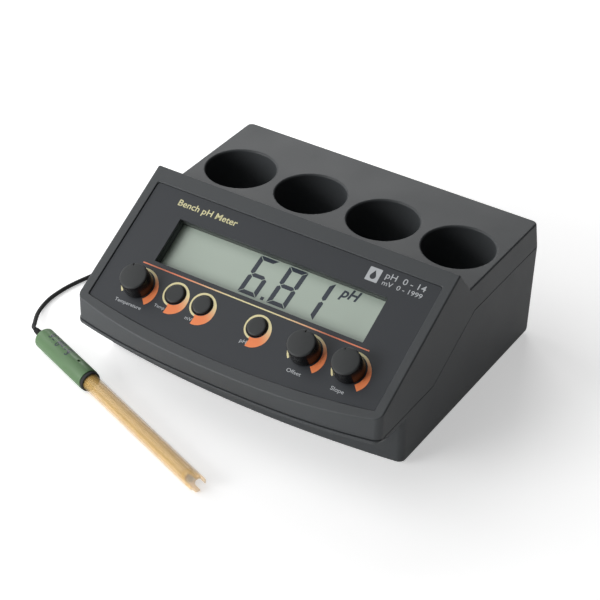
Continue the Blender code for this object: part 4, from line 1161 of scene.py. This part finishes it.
def segments():
    """Each segment's outline in a cell: a is a bar's width, b its height and g the gap."""
    w, h, middle = CELL_WIDTH, CELL_HEIGHT, CELL_HEIGHT / 2
    a, b, g = BAR_WIDE, BAR_HIGH, BAR_GAP
    top = [(g, h), (w - g, h), (w - a - g, h - b), (a + g, h - b)]
    waist = [(a / 2 + g, middle), (a + g, middle + b / 2), (w - a - g, middle + b / 2)]
    waist += [(w - a / 2 - g, middle), (w - a - g, middle - b / 2), (a + g, middle - b / 2)]
    upper = [(0, h - g), (0, middle + b / 2), (a / 2, middle + g)]
    upper += [(a, middle + b / 2 + g), (a, h - b - g)]
    bars = {"top": top, "waist": waist, "upper_left": upper}
    bars["upper_right"] = [(w - x, y) for x, y in upper]
    bars["foot"] = [(x, h - y) for x, y in top]
    bars["lower_left"] = [(x, h - y) for x, y in upper]
    bars["lower_right"] = [(w - x, h - y) for x, y in upper]
    return bars


SEGMENTS = segments()
SIX = ("top", "upper_left", "waist", "lower_left", "lower_right", "foot")
ONE = ("upper_right", "lower_right")
READING = [(0, SIX, 0.0), (1, tuple(SEGMENTS), 0.0), (2, ONE, -1.4 * MM)]


def add_digits():
    bars = []
    low, high = DISPLAY_FACE, DISPLAY_FACE + PRINT
    for cell, lit, nudge in READING:
        left = CELL_LEFT + cell * CELL_PITCH + nudge
        for name in lit:
            outline = [(left + x + y * CELL_LEAN, y - CELL_BOTTOM) for x, y in SEGMENTS[name]]
            bars.append(prism(outline, [low, high]))
    dot = [(-2.4, 0.2), (0.0, 0.2), (0.2, 2.6), (-2.2, 2.6)]
    bars.append(prism([(x * MM, y * MM - CELL_BOTTOM) for x, y in dot], [low, high]))
    digits = raw("display_digits", together(bars))
    digits.data.transform(PANEL)
    piece(digits, DIGIT_INK, "case", smooth=None)
    facts = ("display_unit", "pH", 46.8 * MM, 58.6 * MM, 35.2 * MM)
    lettering(DIGIT_INK, "display", *facts, slant=0.22, weight=0.03, level=DISPLAY_FACE)


add_digits()
print("display reads 6.81 pH, %.1f mm below the panel" % (-DISPLAY_FACE / MM))

# %% [markdown]
# ## Knobs and buttons
#
# The knobs are plain black turnings with a soft shoulder, a slightly domed top and a short pointer cut
# at the rim.  The push buttons stand less than two millimetres out of the panel.

# %% Knobs
KNOB_LOW = -0.34 * MM
KNOB_TOP = 11.66 * MM
KNOB_RADIUS = 9.8 * MM
KNOB_SHOULDER = 1.5 * MM
KNOB_DOME = 0.45 * MM
SKIRT = 10.5 * MM
SKIRT_ROOM = 8.2 * MM
SHAFT_RADIUS = 3.3 * MM
SHAFT_TOP = 8.16 * MM
HUB_LOW = 3.66 * MM
POINTER_SIZE = (4.2 * MM, 1.2 * MM, 2.2 * MM)
BUTTON_RADIUS = 6.9 * MM
BUTTON_EDGE = 1.6 * MM
BUTTON_DEPTH = 4.2 * MM
POINTERS = {}
for name in KNOBS:
    low_limit, high_limit = joints[name + "_turn"]["range_deg"]
    POINTERS[name] = math.radians(90 - (low_limit + high_limit) / 2)


def shaded(thing, height):
    """Marks the matte top of a control: shade is 1 above the height and 0 below it."""
    layer = thing.data.attributes.new("shade", "FLOAT", "POINT")
    for vertex, item in zip(thing.data.vertices, layer.data):
        item.value = 1.0 if vertex.co.z > height else 0.0


def dome(radius, height, rise, steps):
    """A profile's slightly domed top, from near its edge to the axis."""
    points = []
    for i in range(1, steps + 1):
        share = 1 - i / steps
        points.append((radius * share, height + rise * (1 - share * share)))
    return points


def add_knob(name, place):
    shoulder = (KNOB_RADIUS - KNOB_SHOULDER, KNOB_TOP - KNOB_SHOULDER)
    profile = [(0, SHAFT_TOP), (SHAFT_RADIUS, SHAFT_TOP), (SHAFT_RADIUS, HUB_LOW), (SKIRT_ROOM, HUB_LOW)]
    profile += [(SKIRT_ROOM, KNOB_LOW), (SKIRT - GAP, KNOB_LOW), (SKIRT, KNOB_LOW + GAP)]
    profile += [(SKIRT, KNOB_LOW + 3 * GAP)] + arc(shoulder, KNOB_SHOULDER, 2, 84, 10)
    profile += dome(8.4 * MM, KNOB_TOP, KNOB_DOME, 7)
    pointer = block(POINTER_SIZE, (9.6 * MM, 0, KNOB_TOP + 0.2 * MM), 0.15 * MM)
    moved(pointer, Matrix.Rotation(POINTERS[name], 4, "Z"))
    knob = carved(name + "_knob_cap", turned(profile), cuts=[pointer])
    shaded(knob, KNOB_TOP - 0.6 * MM)
    knob.data.transform(PANEL @ Matrix.Translation((*place, 0)))
    piece(knob, CONTROL, name + "_control", [name + "_knob"], 40)


def add_button(name, place):
    face = OVERLAY_FACE
    profile = [(0, face - BUTTON_DEPTH), (BUTTON_RADIUS, face - BUTTON_DEPTH)]
    profile += arc((BUTTON_RADIUS - BUTTON_EDGE, face + 0.2 * MM), BUTTON_EDGE, 0, 84, 8)
    profile += dome(5.2 * MM, face + 1.8 * MM, 0.1 * MM, 6)
    button = raw(name + "_button_cap", turned(profile))
    shaded(button, face + 1.4 * MM)
    button.data.transform(PANEL @ Matrix.Translation((*place, 0)))
    piece(button, CONTROL, name + "_push", [name + "_button"], 40)


for name, place in knob_places.items():
    add_knob(name, place)
for name, place in button_places.items():
    add_button(name, place)
print("knobs and buttons made")

# %% [markdown]
# ## The electrode
#
# The electrode is a clear amber tube with a glass stem inside.  At its tip four prongs guard the thin
# glass bulb.  Its green cap is drilled with a small vent.  Its place on the table comes from the frame:
# the middle of each turned piece lies on its axis, so two middles give the axis.

# %% The electrode's axis
def middle_of(node):
    spots = {tuple(round(c, 6) for c in vertex.co) for vertex in nodes[node].data.vertices}
    return sum((Vector(spot) for spot in spots), Vector()) / len(spots)


AXIS = (middle_of("electrode_seal_ring") - middle_of("electrode_strain_relief")).normalized()


def reach_of(node):
    """Where a piece starts and ends along the electrode's axis, from the strain relief's middle."""
    start = middle_of("electrode_strain_relief")
    along = [(vertex.co - start).dot(AXIS) for vertex in nodes[node].data.vertices]
    return min(along), max(along)


cap_start = reach_of("electrode_cap")[0]
TURN_TO_AXIS = AXIS.to_track_quat("Z", "X").to_matrix().to_4x4()
ELECTRODE = Matrix.Translation(middle_of("electrode_strain_relief") + AXIS * cap_start) @ TURN_TO_AXIS
CAP_LENGTH = reach_of("electrode_cap")[1] - cap_start
LENGTH = reach_of("electrode_body")[1] - cap_start
print("electrode %.1f mm long, cap %.1f mm" % (LENGTH / MM, CAP_LENGTH / MM))


def on_electrode(bm):
    return moved(bm, ELECTRODE)


# %% Cap, body and glass
CAP_RADIUS = 7.6 * MM
CAP_EDGE = 1.6 * MM
CAP_BORE = 6.3 * MM
CAP_BORE_DEPTH = 12 * MM
VENT_RADIUS = 1.1 * MM
MARKING_LEAN = math.radians(8)
TUBE_RADIUS = 6.0 * MM
TUBE_BORE = 4.8 * MM
BRIDGE_BORE = 3.5 * MM
SLOT_SIZE = (5 * MM, 17 * MM)
STEM_RADIUS = 3.0 * MM
BULB_RADIUS = 4.1 * MM
GLASS_WALL = 0.5 * MM


def add_cap():
    """The cap, and the turn that brings its vent and its marking up."""
    floor = CAP_LENGTH - CAP_BORE_DEPTH
    rim = 0.4 * MM
    profile = [(0, 0)] + arc((CAP_RADIUS - CAP_EDGE, CAP_EDGE), CAP_EDGE, -90, 0, 8)
    profile += arc((CAP_RADIUS - rim, CAP_LENGTH - rim), rim, 0, 90, 3)
    profile += [(CAP_BORE, CAP_LENGTH), (CAP_BORE, floor), (0, floor)]
    up = ELECTRODE.to_3x3().inverted() @ Vector((0.0, 0.15, 1.0))
    turn = Matrix.Rotation(math.atan2(up.y, up.x), 4, "Z")
    spot = Matrix.Translation((0, 0, CAP_LENGTH - 13.5 * MM)) @ Matrix.Rotation(math.pi / 2, 4, "Y")
    vent = moved(rod(VENT_RADIUS, 3 * MM, 9 * MM, 24), turn @ spot)
    cap = carved("electrode_cap_moulding", turned(profile), cuts=[vent])
    cap.data.transform(ELECTRODE)
    piece(cap, GREEN, "case", ["electrode_cap"], 35)
    return turn


def add_seal():
    low, high = CAP_LENGTH + GAP, CAP_LENGTH + 2.9 * MM
    profile = [(CAP_BORE, low), (7.1 * MM, low)] + arc((6.5 * MM, high - 0.8 * MM), 0.8 * MM, 0, 90, 5)
    profile += [(CAP_BORE, high)]
    seal = raw("electrode_seal", on_electrode(turned(profile, 64)))
    piece(seal, RUBBER, "case", ["electrode_seal_ring"])


def add_tube():
    """The clear tube: a bridge inside it holds the glass, and two crossed slots leave four prongs."""
    low = CAP_LENGTH - CAP_BORE_DEPTH + GAP
    outer, bore, edge = TUBE_RADIUS, TUBE_BORE, 0.5 * MM
    bridge_top, bridge_low = LENGTH - 12.0 * MM, LENGTH - 14.5 * MM
    profile = [(bore, low), (outer, low), (outer, LENGTH - edge)]
    profile += [(outer - edge, LENGTH), (bore + 0.2 * MM, LENGTH), (bore, LENGTH - 0.2 * MM)]
    profile += [(bore, bridge_top), (BRIDGE_BORE, bridge_top), (BRIDGE_BORE, bridge_low)]
    profile += [(bore, bridge_low)]
    slots = []
    for turn in (math.pi / 4, -math.pi / 4):
        shape = rounded(rectangle(*SLOT_SIZE, (0, LENGTH)), [2.2 * MM] * 4)
        slot = loft([[(x, y, z) for y, z in shape] for x in (-9 * MM, 9 * MM)])
        slots.append(moved(slot, Matrix.Rotation(turn, 4, "Z")))
    tube = carved("electrode_tube", turned(profile, 96), cuts=slots)
    tube.data.transform(ELECTRODE)
    piece(tube, AMBER, "case", ["electrode_body"], 30)


def add_glass():
    low = CAP_LENGTH - 7.7 * MM
    bulb = LENGTH - 10.1 * MM
    neck = math.degrees(math.asin(STEM_RADIUS / BULB_RADIUS)) - 90

    def stem_and_bulb(sunk, first):
        """The glass's profile, drawn in by so much."""
        radius, foot = BULB_RADIUS - sunk, low + sunk
        curve = arc((0, bulb), radius, first, 90, 18)[:-1] + [(0, bulb + radius)]
        return turned([(0, foot), (STEM_RADIUS - sunk, foot)] + curve, 64)

    glass = carved("electrode_glass", stem_and_bulb(0, neck), cuts=[stem_and_bulb(GLASS_WALL, neck - 2)])
    glass.data.transform(ELECTRODE)
    piece(glass, GLASS, "case", ["glass_stem_and_bulb"], 30)


marking_turn = add_cap()
add_seal()
add_tube()
add_glass()


def add_marking():
    """Three lines of plain marking, wrapped round the cap."""
    lines = [("pH 0 - 13", 3.0), ("0 - 80 \u00b0C", 0.0), ("3.5 M KCl", -3.0)]
    for number, (text, across) in enumerate(lines):
        name = "cap_marking_%d" % number
        thing = text_mesh(name, text, 9 * MM, 34 * MM, -across * MM, weight=0.02, level=0.0)
        for vertex in thing.data.vertices:
            along, around, out = vertex.co
            angle = around / CAP_RADIUS - MARKING_LEAN
            radius = CAP_RADIUS + out
            vertex.co = (radius * math.cos(angle), radius * math.sin(angle), along)
        thing.data.transform(ELECTRODE @ marking_turn)
        piece(thing, DIGIT_INK, "case", smooth=None)


add_marking()
print("electrode made")

# %% [markdown]
# ## Strain reliefs
#
# A thin cable breaks where it is bent most, so each end of it leaves through a soft tapered sleeve whose
# ribs let it bend little by little.  A plastic tie holds the spare turns.

# %% Sleeves
GROOVE = 0.84  # a groove's radius over that of the rib beside it


def sleeve_profile(length, wide, narrow, ribs):
    """A tapered sleeve from its wide end at height 0, with grooves between its ribs."""
    plain = length * 0.2
    ribbed = length * 0.8
    profile = [(0, 0), (wide, 0), (wide, plain)]
    for i in range(ribs):
        for share, sunk in ((0.25, 1.0), (0.35, GROOVE), (0.75, GROOVE), (0.85, 1.0)):
            along = (i + share) * ribbed / ribs
            radius = wide + (narrow - wide) * along / ribbed
            profile.append((radius * sunk, plain + along))
    profile += [(narrow, length), (0, length)]
    return profile


def add_sleeves():
    spot = BNC @ Matrix.Translation((0, 0, boot_low.y - FLAT_Y))
    profile = sleeve_profile(boot_high.y - boot_low.y, 4.2 * MM, 2.1 * MM, 6)
    boot = raw("plug_sleeve", moved(turned(profile, 48), spot))
    piece(boot, RUBBER, "case", ["bnc_plug_boot"], 40)
    back = ELECTRODE @ Matrix.Translation((0, 0, -GAP)) @ Matrix.Rotation(math.pi, 4, "X")
    profile = sleeve_profile(9.7 * MM, 2.7 * MM, 2.0 * MM, 5)
    relief = raw("electrode_sleeve", moved(turned(profile, 48), back))
    piece(relief, RUBBER, "case", ["electrode_strain_relief"], 40)


add_sleeves()

# %% [markdown]
# ## The rear connections
#
# The input is a bayonet socket with a hexagonal nut, and the electrode's plug is turned onto it by a
# knurled collar.  Beside it are the socket for the supply and the power switch.  Geometry Nodes lay the
# collar's ribs out on a circle: the count, the radius and the rib's own size are inputs of the tree.

# %% A tool for Geometry Nodes
class Recipe:
    """A Geometry Nodes tree with named inputs."""

    def __init__(self, name, inputs):
        self.tree = bpy.data.node_groups.new(name, "GeometryNodeTree")
        new_socket = self.tree.interface.new_socket
        new_socket("Geometry", in_out="INPUT", socket_type="NodeSocketGeometry")
        new_socket("Geometry", in_out="OUTPUT", socket_type="NodeSocketGeometry")
        self.names = {}
        for label, kind in inputs:
            socket = new_socket(label, in_out="INPUT", socket_type="NodeSocket" + kind)
            self.names[label] = socket.identifier
        self.entry = self.tree.nodes.new("NodeGroupInput").outputs
        self.exit = self.tree.nodes.new("NodeGroupOutput").inputs

    def add(self, kind, sockets, output=0, settings=None):
        node = self.tree.nodes.new(kind)
        for name, value in (settings or {}).items():
            setattr(node, name, value)
        for key, value in sockets.items():
            if isinstance(value, bpy.types.NodeSocket):
                self.tree.links.new(value, node.inputs[key])
            else:
                node.inputs[key].default_value = value
        return node.outputs[output]

    def close(self, geometry):
        """Ends the tree: instances made real, and given the material."""
        real = self.add("GeometryNodeRealizeInstances", {"Geometry": geometry})
        sockets = {"Geometry": real, "Material": self.entry["Material"]}
        painted = self.add("GeometryNodeSetMaterial", sockets)
        self.tree.links.new(painted, self.exit["Geometry"])

    def run(self, name, values, points=()):
        """An object with the tree's result as its mesh."""
        mesh = bpy.data.meshes.new(name)
        mesh.from_pydata([tuple(point) for point in points], [], [])
        thing = bpy.data.objects.new(name, mesh)
        bpy.context.scene.collection.objects.link(thing)
        modifier = thing.modifiers.new(name, "NODES")
        modifier.node_group = self.tree
        for label, value in values.items():
            modifier[self.names[label]] = value
        return baked(thing)


def knurl_recipe():
    inputs = [("Ribs", "Int"), ("Radius", "Float"), ("Rib Radius", "Float"), ("Length", "Float")]
    recipe = Recipe("knurl", inputs + [("Material", "Material")])
    entry = recipe.entry
    circle = recipe.add("GeometryNodeMeshCircle", {"Vertices": entry["Ribs"], "Radius": entry["Radius"]})
    sockets = {"Vertices": 8, "Radius": entry["Rib Radius"], "Depth": entry["Length"]}
    rib = recipe.add("GeometryNodeMeshCylinder", sockets)
    recipe.close(recipe.add("GeometryNodeInstanceOnPoints", {"Points": circle, "Instance": rib}))
    return recipe


def scatter_recipe():
    recipe = Recipe("scatter", [("Piece", "Object"), ("Material", "Material")])
    piece_in = recipe.add("GeometryNodeObjectInfo", {"Object": recipe.entry["Piece"]}, "Geometry")
    sockets = {"Points": recipe.entry["Geometry"], "Instance": piece_in}
    recipe.close(recipe.add("GeometryNodeInstanceOnPoints", sockets))
    return recipe


KNURL = knurl_recipe()
SCATTER = scatter_recipe()

# %% Nut and socket
NUT_TOP = 2.8 * MM  # heights are measured from the flat at the back
NUT_RADIUS = 8.5 * MM
NUT_CHAMFER = 1.0 * MM
SOCKET_TIP = NUT_TOP + 12 * MM


def add_nut():
    """A hexagonal nut with its corners turned off at the outer end."""
    top, width = NUT_TOP - 0.15 * MM, NUT_RADIUS * 1.2
    corners = []
    for i in range(6):
        angle = math.pi * i / 3
        corners.append((NUT_RADIUS * math.cos(angle), NUT_RADIUS * math.sin(angle)))
    cone = [(0, GAP - 1 * MM), (width, GAP - 1 * MM), (width, top - NUT_CHAMFER * 1.4)]
    cone += [(NUT_RADIUS - NUT_CHAMFER, top + 0.05 * MM), (0, top + 0.05 * MM)]
    nut = raw("input_nut", prism(corners, [GAP, top]))
    hole = rod(SOCKET_HOLE, -OVERCUT, 8 * MM)
    worked(nut, [(turned(cone, 64), "INTERSECT"), (hole, "DIFFERENCE")])
    nut.data.transform(BNC)
    piece(nut, NICKEL, "case", ["bnc_nut"], 30)


def add_socket():
    """The bayonet socket: an open sleeve with a pin in it and two lugs on its sides."""
    nut_top, tip = NUT_TOP, SOCKET_TIP
    profile = [(0, -7.3 * MM), (8 * MM, -7.3 * MM), (8 * MM, -5.3 * MM), (6.2 * MM, -5.3 * MM)]
    profile += [(6.2 * MM, nut_top - 0.4 * MM), (5.8 * MM, nut_top), (4.8 * MM, nut_top)]
    profile += [(4.8 * MM, tip - 0.2 * MM), (4.6 * MM, tip), (4.1 * MM, tip)]
    profile += [(4.1 * MM, nut_top + 3 * MM), (1.1 * MM, nut_top + 3 * MM)]
    profile += [(1.1 * MM, tip - 3 * MM), (0, tip - 3 * MM)]
    lugs = []
    for side in (-1, 1):
        lug = rod(0.9 * MM, 4.4 * MM, 5.6 * MM, 24)
        turn = Matrix.Rotation(side * math.pi / 2, 4, "Y")
        lugs.append(moved(lug, Matrix.Translation((0, 0, tip - 4 * MM)) @ turn))
    socket = carved("input_socket", turned(profile, 64), unions=[together(lugs)])
    socket.data.transform(BNC)
    piece(socket, NICKEL, "case", ["bnc_socket"], 30)


add_nut()
add_socket()

# %% Plug and collar
PLUG_RADIUS = 4.9 * MM
PLUG_WAIST = 4.6 * MM
PLUG_FLANGE = 5.6 * MM
COLLAR_RADIUS = 7.0 * MM
COLLAR_NECK = 6.7 * MM
COLLAR_ROOM = 6.2 * MM
COLLAR_SNUG = 5.2 * MM
RIB_COUNT = 36
RIB_RADIUS = 0.45 * MM


def add_plug():
    """The plug's body: a sleeve that goes into the socket, a flange that the collar pulls on, a grip."""
    tip = SOCKET_TIP
    top = tip + GAP + 13 * MM
    profile = [(0, tip + 2 * MM), (1.6 * MM, tip + 2 * MM), (1.6 * MM, tip - 7 * MM)]
    profile += [(3.7 * MM, tip - 7 * MM), (3.7 * MM, tip + GAP), (PLUG_FLANGE, tip + GAP)]
    profile += [(PLUG_FLANGE, tip + 2.3 * MM), (PLUG_RADIUS, tip + 2.3 * MM), (PLUG_RADIUS, top - 4 * MM)]
    profile += [(PLUG_WAIST, top - 3.6 * MM), (PLUG_WAIST, top - 3 * MM), (PLUG_RADIUS, top - 2.6 * MM)]
    profile += [(PLUG_RADIUS, top - 0.4 * MM), (4.5 * MM, top), (0, top)]
    plug = raw("plug_body", moved(turned(profile, 64), BNC))
    piece(plug, NICKEL, "case", ["bnc_plug_body"], 30)


def add_collar():
    """The collar between its two plain ends, and the ribs on the neck between them."""
    low, lip = NUT_TOP + GAP, SOCKET_TIP + 2.6 * MM
    wide, neck, end = COLLAR_RADIUS, COLLAR_NECK, lip + 2 * MM
    profile = [(COLLAR_ROOM, low), (neck, low), (wide, low + 0.3 * MM), (wide, low + 3 * MM)]
    profile += [(neck, low + 3.4 * MM), (neck, lip - 1.2 * MM), (wide, lip - 0.8 * MM)]
    profile += [(wide, lip + 1.6 * MM), (6.6 * MM, end), (COLLAR_SNUG, end)]
    profile += [(COLLAR_SNUG, lip), (COLLAR_ROOM, lip)]
    collar = raw("plug_collar", moved(turned(profile, 96), BNC))
    piece(collar, NICKEL, "plug_collar", ["bnc_plug_collar"], 30)
    values = {"Ribs": RIB_COUNT, "Radius": neck - 0.05 * MM, "Rib Radius": RIB_RADIUS}
    values.update({"Length": lip - low - 5.4 * MM, "Material": NICKEL})
    ribs = KNURL.run("plug_collar_ribs", values)
    ribs.data.transform(BNC @ Matrix.Translation((0, 0, (low + 3.6 * MM + lip - 1.4 * MM) / 2)))
    piece(ribs, NICKEL, "plug_collar", smooth=40)


add_plug()
add_collar()
print("input socket, plug and collar made")

# %% Supply socket and power switch
JACK_RADIUS = 3.2 * MM
JACK_DEPTH = 9.5 * MM
PIN_RADIUS = 1.0 * MM
PIN_DOWN = 1.8 * MM
SWITCH_RIM = 1.5 * MM
SWITCH_BODY = (12.6 * MM, 12 * MM, 18.6 * MM)
SWITCH_ROOM = (11 * MM, 8 * MM + OVERCUT, 16.5 * MM)
ROCKER_TILT = math.radians(9)
ROCKER_HALF = 7.5 * MM
ROCKER_OUT = 1.8 * MM
ROCKER_RISE = 1.6 * MM
MARK = 0.06 * MM
MARK_ALONG = 4.4 * MM


def add_inlet():
    low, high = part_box("power_inlet")
    size = high - low
    centre = (low + high) / 2
    front = Matrix.Translation((centre.x, high.y, centre.z)) @ Matrix.Rotation(-math.pi / 2, 4, "X")
    shape = rounded(rectangle(size.x, size.z, (centre.x, centre.z)), [0.8 * MM] * 4)
    body = loft([[(x, y, z) for x, z in shape] for y in (low.y, high.y)])
    bore = turned(flared(JACK_RADIUS, -JACK_DEPTH, 0.3 * MM), 64)
    inlet = carved("supply_socket", body, cuts=[moved(bore, front)])
    piece(inlet, BLACK, "case", ["power_inlet"], 30)
    foot = 0.1 * MM - JACK_DEPTH
    profile = [(0, foot), (PIN_RADIUS, foot)] + arc((0, -PIN_DOWN), PIN_RADIUS, 0, 90, 5)
    pin = raw("supply_pin", moved(turned(profile, 32), front))
    piece(pin, NICKEL, "case")


def add_switch_housing():
    low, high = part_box("power_switch_housing")
    centre = (low + high) / 2
    face = high.y
    size = (high.x - low.x, SWITCH_RIM, high.z - low.z)
    rim = block(size, (centre.x, face - SWITCH_RIM / 2, centre.z), 0.4 * MM)
    body = block(SWITCH_BODY, (centre.x, face - 1 * MM - SWITCH_BODY[1] / 2, centre.z))
    room = block(SWITCH_ROOM, (centre.x, face + OVERCUT - SWITCH_ROOM[1] / 2, centre.z))
    housing = carved("switch_housing", rim, unions=[body], cuts=[room])
    piece(housing, BLACK, "case", ["power_switch_housing"], 30)


def add_rocker():
    """A rocker with a hollow face, and the marks for on and off printed on it."""
    pivot = Matrix.Translation(joints["power_rock"]["pos_m"]) @ Matrix.Rotation(ROCKER_TILT, 4, "X")
    half, out, rise = ROCKER_HALF, ROCKER_OUT, ROCKER_RISE
    outline = [(out - 4 * MM, -half * 0.8), (out, -half), (out + rise, -half)]
    for i in range(1, 10):
        z = half * (i / 5 - 1)
        outline.append((out + rise * (z / half) ** 2, z))
    outline += [(out + rise, half), (out, half), (out - 4 * MM, half * 0.8)]
    sections = []
    for x, drawn in ((-4.9, 0.3), (-4.6, 0.0), (4.6, 0.0), (4.9, 0.3)):
        sections.append([(x * MM, y - drawn * MM, z * (1 - drawn * 0.03)) for y, z in outline])
    rocker = raw("switch_rocker", moved(loft(sections), pivot))
    piece(rocker, BLACK, "rocker", ["power_rocker"], 30)
    on_mark = block((0.6 * MM, MARK, 3.0 * MM), (0, out + 0.62 * MM, MARK_ALONG))
    off_mark = turned([(1.1 * MM, 0), (1.6 * MM, 0), (1.6 * MM, MARK), (1.1 * MM, MARK)], 32)
    spot = Matrix.Translation((0, out + 0.56 * MM, -MARK_ALONG))
    moved(off_mark, spot @ Matrix.Rotation(-math.pi / 2 - 0.25, 4, "X"))
    marks = raw("switch_marks", moved(together([on_mark, off_mark]), pivot))
    piece(marks, WHITE, "rocker")


add_inlet()
add_switch_housing()
add_rocker()
print("supply socket and switch made")

# %% [markdown]
# ## Feet and screws
#
# Four rubber feet carry the meter and four screws hold its base to its cover.  One of each is made and a
# Geometry Nodes tree puts it at each place that the frame gives.

# %% Underside
CORNERS = ("front_left", "front_right", "rear_left", "rear_right")


def under(node):
    low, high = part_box(node)
    return ((low.x + high.x) / 2, (low.y + high.y) / 2, low.z)


def add_feet():
    profile = [(0, 0.25 * MM), (5.4 * MM, 0.25 * MM), (5.8 * MM, 0), (7.1 * MM, 0)]
    profile += arc((7.2 * MM, 0.8 * MM), 0.8 * MM, -90, 0, 5) + [(8.0 * MM, 2.2 * MM), (0, 2.2 * MM)]
    one = raw("tool_foot", turned(profile, 48))
    names = ["foot_" + corner for corner in CORNERS]
    values = {"Piece": one, "Material": RUBBER}
    feet = SCATTER.run("rubber_feet", values, [under(name) for name in names])
    bpy.data.objects.remove(one)
    piece(feet, RUBBER, "case", names)


def add_screws():
    profile = [(0, 0), (2.0 * MM, 0)] + arc((2.3 * MM, 0.6 * MM), 0.6 * MM, -80, 0, 5)
    profile += [(2.9 * MM, 2.0 * MM), (1.5 * MM, 2.0 * MM), (1.5 * MM, 35 * MM), (0, 36.4 * MM)]
    thin, long = 0.7 * MM, 3.4 * MM
    drive = [block((x, y, 2.0 * MM), (0, 0, 0)) for x, y in ((thin, long), (long, thin))]
    one = carved("tool_screw", turned(profile, 32), cuts=drive)
    names = ["case_screw_" + corner for corner in CORNERS]
    values = {"Piece": one, "Material": STEEL}
    screws = SCATTER.run("case_screws", values, [under(name) for name in names])
    bpy.data.objects.remove(one)
    piece(screws, STEEL, "case", names)


add_feet()
add_screws()

# %% [markdown]
# ## What is left of the frame
#
# The inner pieces, seen only when the case is opened, keep the frame's shapes.  Each takes the finish of
# its own slot in the record.

# %% Finishes of the frame's own pieces
FINISHES = {
    "case_plastic": CASE, "panel_film": FILM, "dark_plastic": SHADE, "contact_silicone": SILICONE,
    "display": DISPLAY, "board_laminate": BOARD, "ribbon": RIBBON, "black_plastic": BLACK,
    "white_plastic": WHITE, "nickel": NICKEL, "zinc_steel": STEEL, "rubber": RUBBER,
    "cable_jacket": RUBBER, "cap_green": GREEN, "amber_plastic": AMBER, "clear_glass": GLASS,
    "silver_wire": SILVER,
}
for subpart in frame["record"]["subparts"]:
    for slot in nodes[subpart["node"]].material_slots:
        slot.material = FINISHES[subpart["material_slot"]]

# %% [markdown]
# ## Stage and light
#
# The object stands on white card.  A soft box high on the left lights the panel, one low in front lights
# the nose, one behind puts a sheen on the deck, and a weak one fills the left.  The card gives back some
# light of its own, evenly.  On top of that it carries painted light, a glow that only the camera sees: it
# lifts the card's shadows and paints the card whiter away from the object, as a lit table looks.

# %% Stage
CARD_GLOW = 0.23
# painted light, seen by the camera only: a lift of the card's shadows, and a whitening that grows with distance
CARD_PAINTED_FILL = 0.22
CARD_PAINTED_GRADIENT = 1.2


def card():
    """White card with an even glow.  A further glow that only the camera sees is painted light: it lifts the
    card's shadows and grows with the distance from the middle.
    """
    finish = Finish("card", (0.9, 0.9, 0.9), Roughness=0.7)
    sockets = {0: finish.place}
    distance = finish.add("ShaderNodeVectorMath", {"operation": "LENGTH"}, sockets, output="Value")
    seen = finish.add("ShaderNodeLightPath", output="Is Camera Ray")
    # the part of the glow seen only by the camera is painted light on the card
    glow = CARD_GLOW + seen * (CARD_PAINTED_FILL + CARD_PAINTED_GRADIENT * distance * distance)
    finish.set("Emission Color", finish.add("ShaderNodeCombineXYZ", None, {0: glow, 1: glow, 2: glow}))
    finish.shader.inputs["Emission Strength"].default_value = 1.0
    return finish.material


def add_stage():
    bm = bmesh.new()
    bmesh.ops.create_grid(bm, x_segments=1, y_segments=1, size=6.0)
    floor = raw("floor", bm)
    floor.data.materials.append(card())
    floor.location.z = -0.0001


def add_light(name, place, target, size, power):
    light = bpy.data.lights.new(name, "AREA")
    light.shape = "RECTANGLE"
    light.size, light.size_y = size
    light.energy = power
    holder = bpy.data.objects.new(name, light)
    holder.location = place
    aim = Vector(target) - Vector(place)
    holder.rotation_euler = aim.to_track_quat("-Z", "Y").to_euler()
    bpy.context.scene.collection.objects.link(holder)


add_stage()
add_light("panel_light", (-0.9, -0.5, 1.4), (0, 0, 0.03), (1.9, 1.9), 13)
add_light("front_light", (-0.9, -1.4, 0.6), (0, 0, 0.03), (1.0, 0.8), 18)
add_light("left_light", (-1.5, 0.1, 0.6), (0, 0, 0.03), (1.0, 0.8), 6)
add_light("deck_light", (-0.9, 1.4, 1.1), (0, 0, 0.06), (1.0, 0.7), 9.6)
world = bpy.data.worlds.new("world")
world.use_nodes = True
world.node_tree.nodes["Background"].inputs["Color"].default_value = (1.0, 1.0, 1.0, 1.0)
world.node_tree.nodes["Background"].inputs["Strength"].default_value = 0.06
bpy.context.scene.world = world
bpy.context.scene.view_settings.view_transform = "Standard"
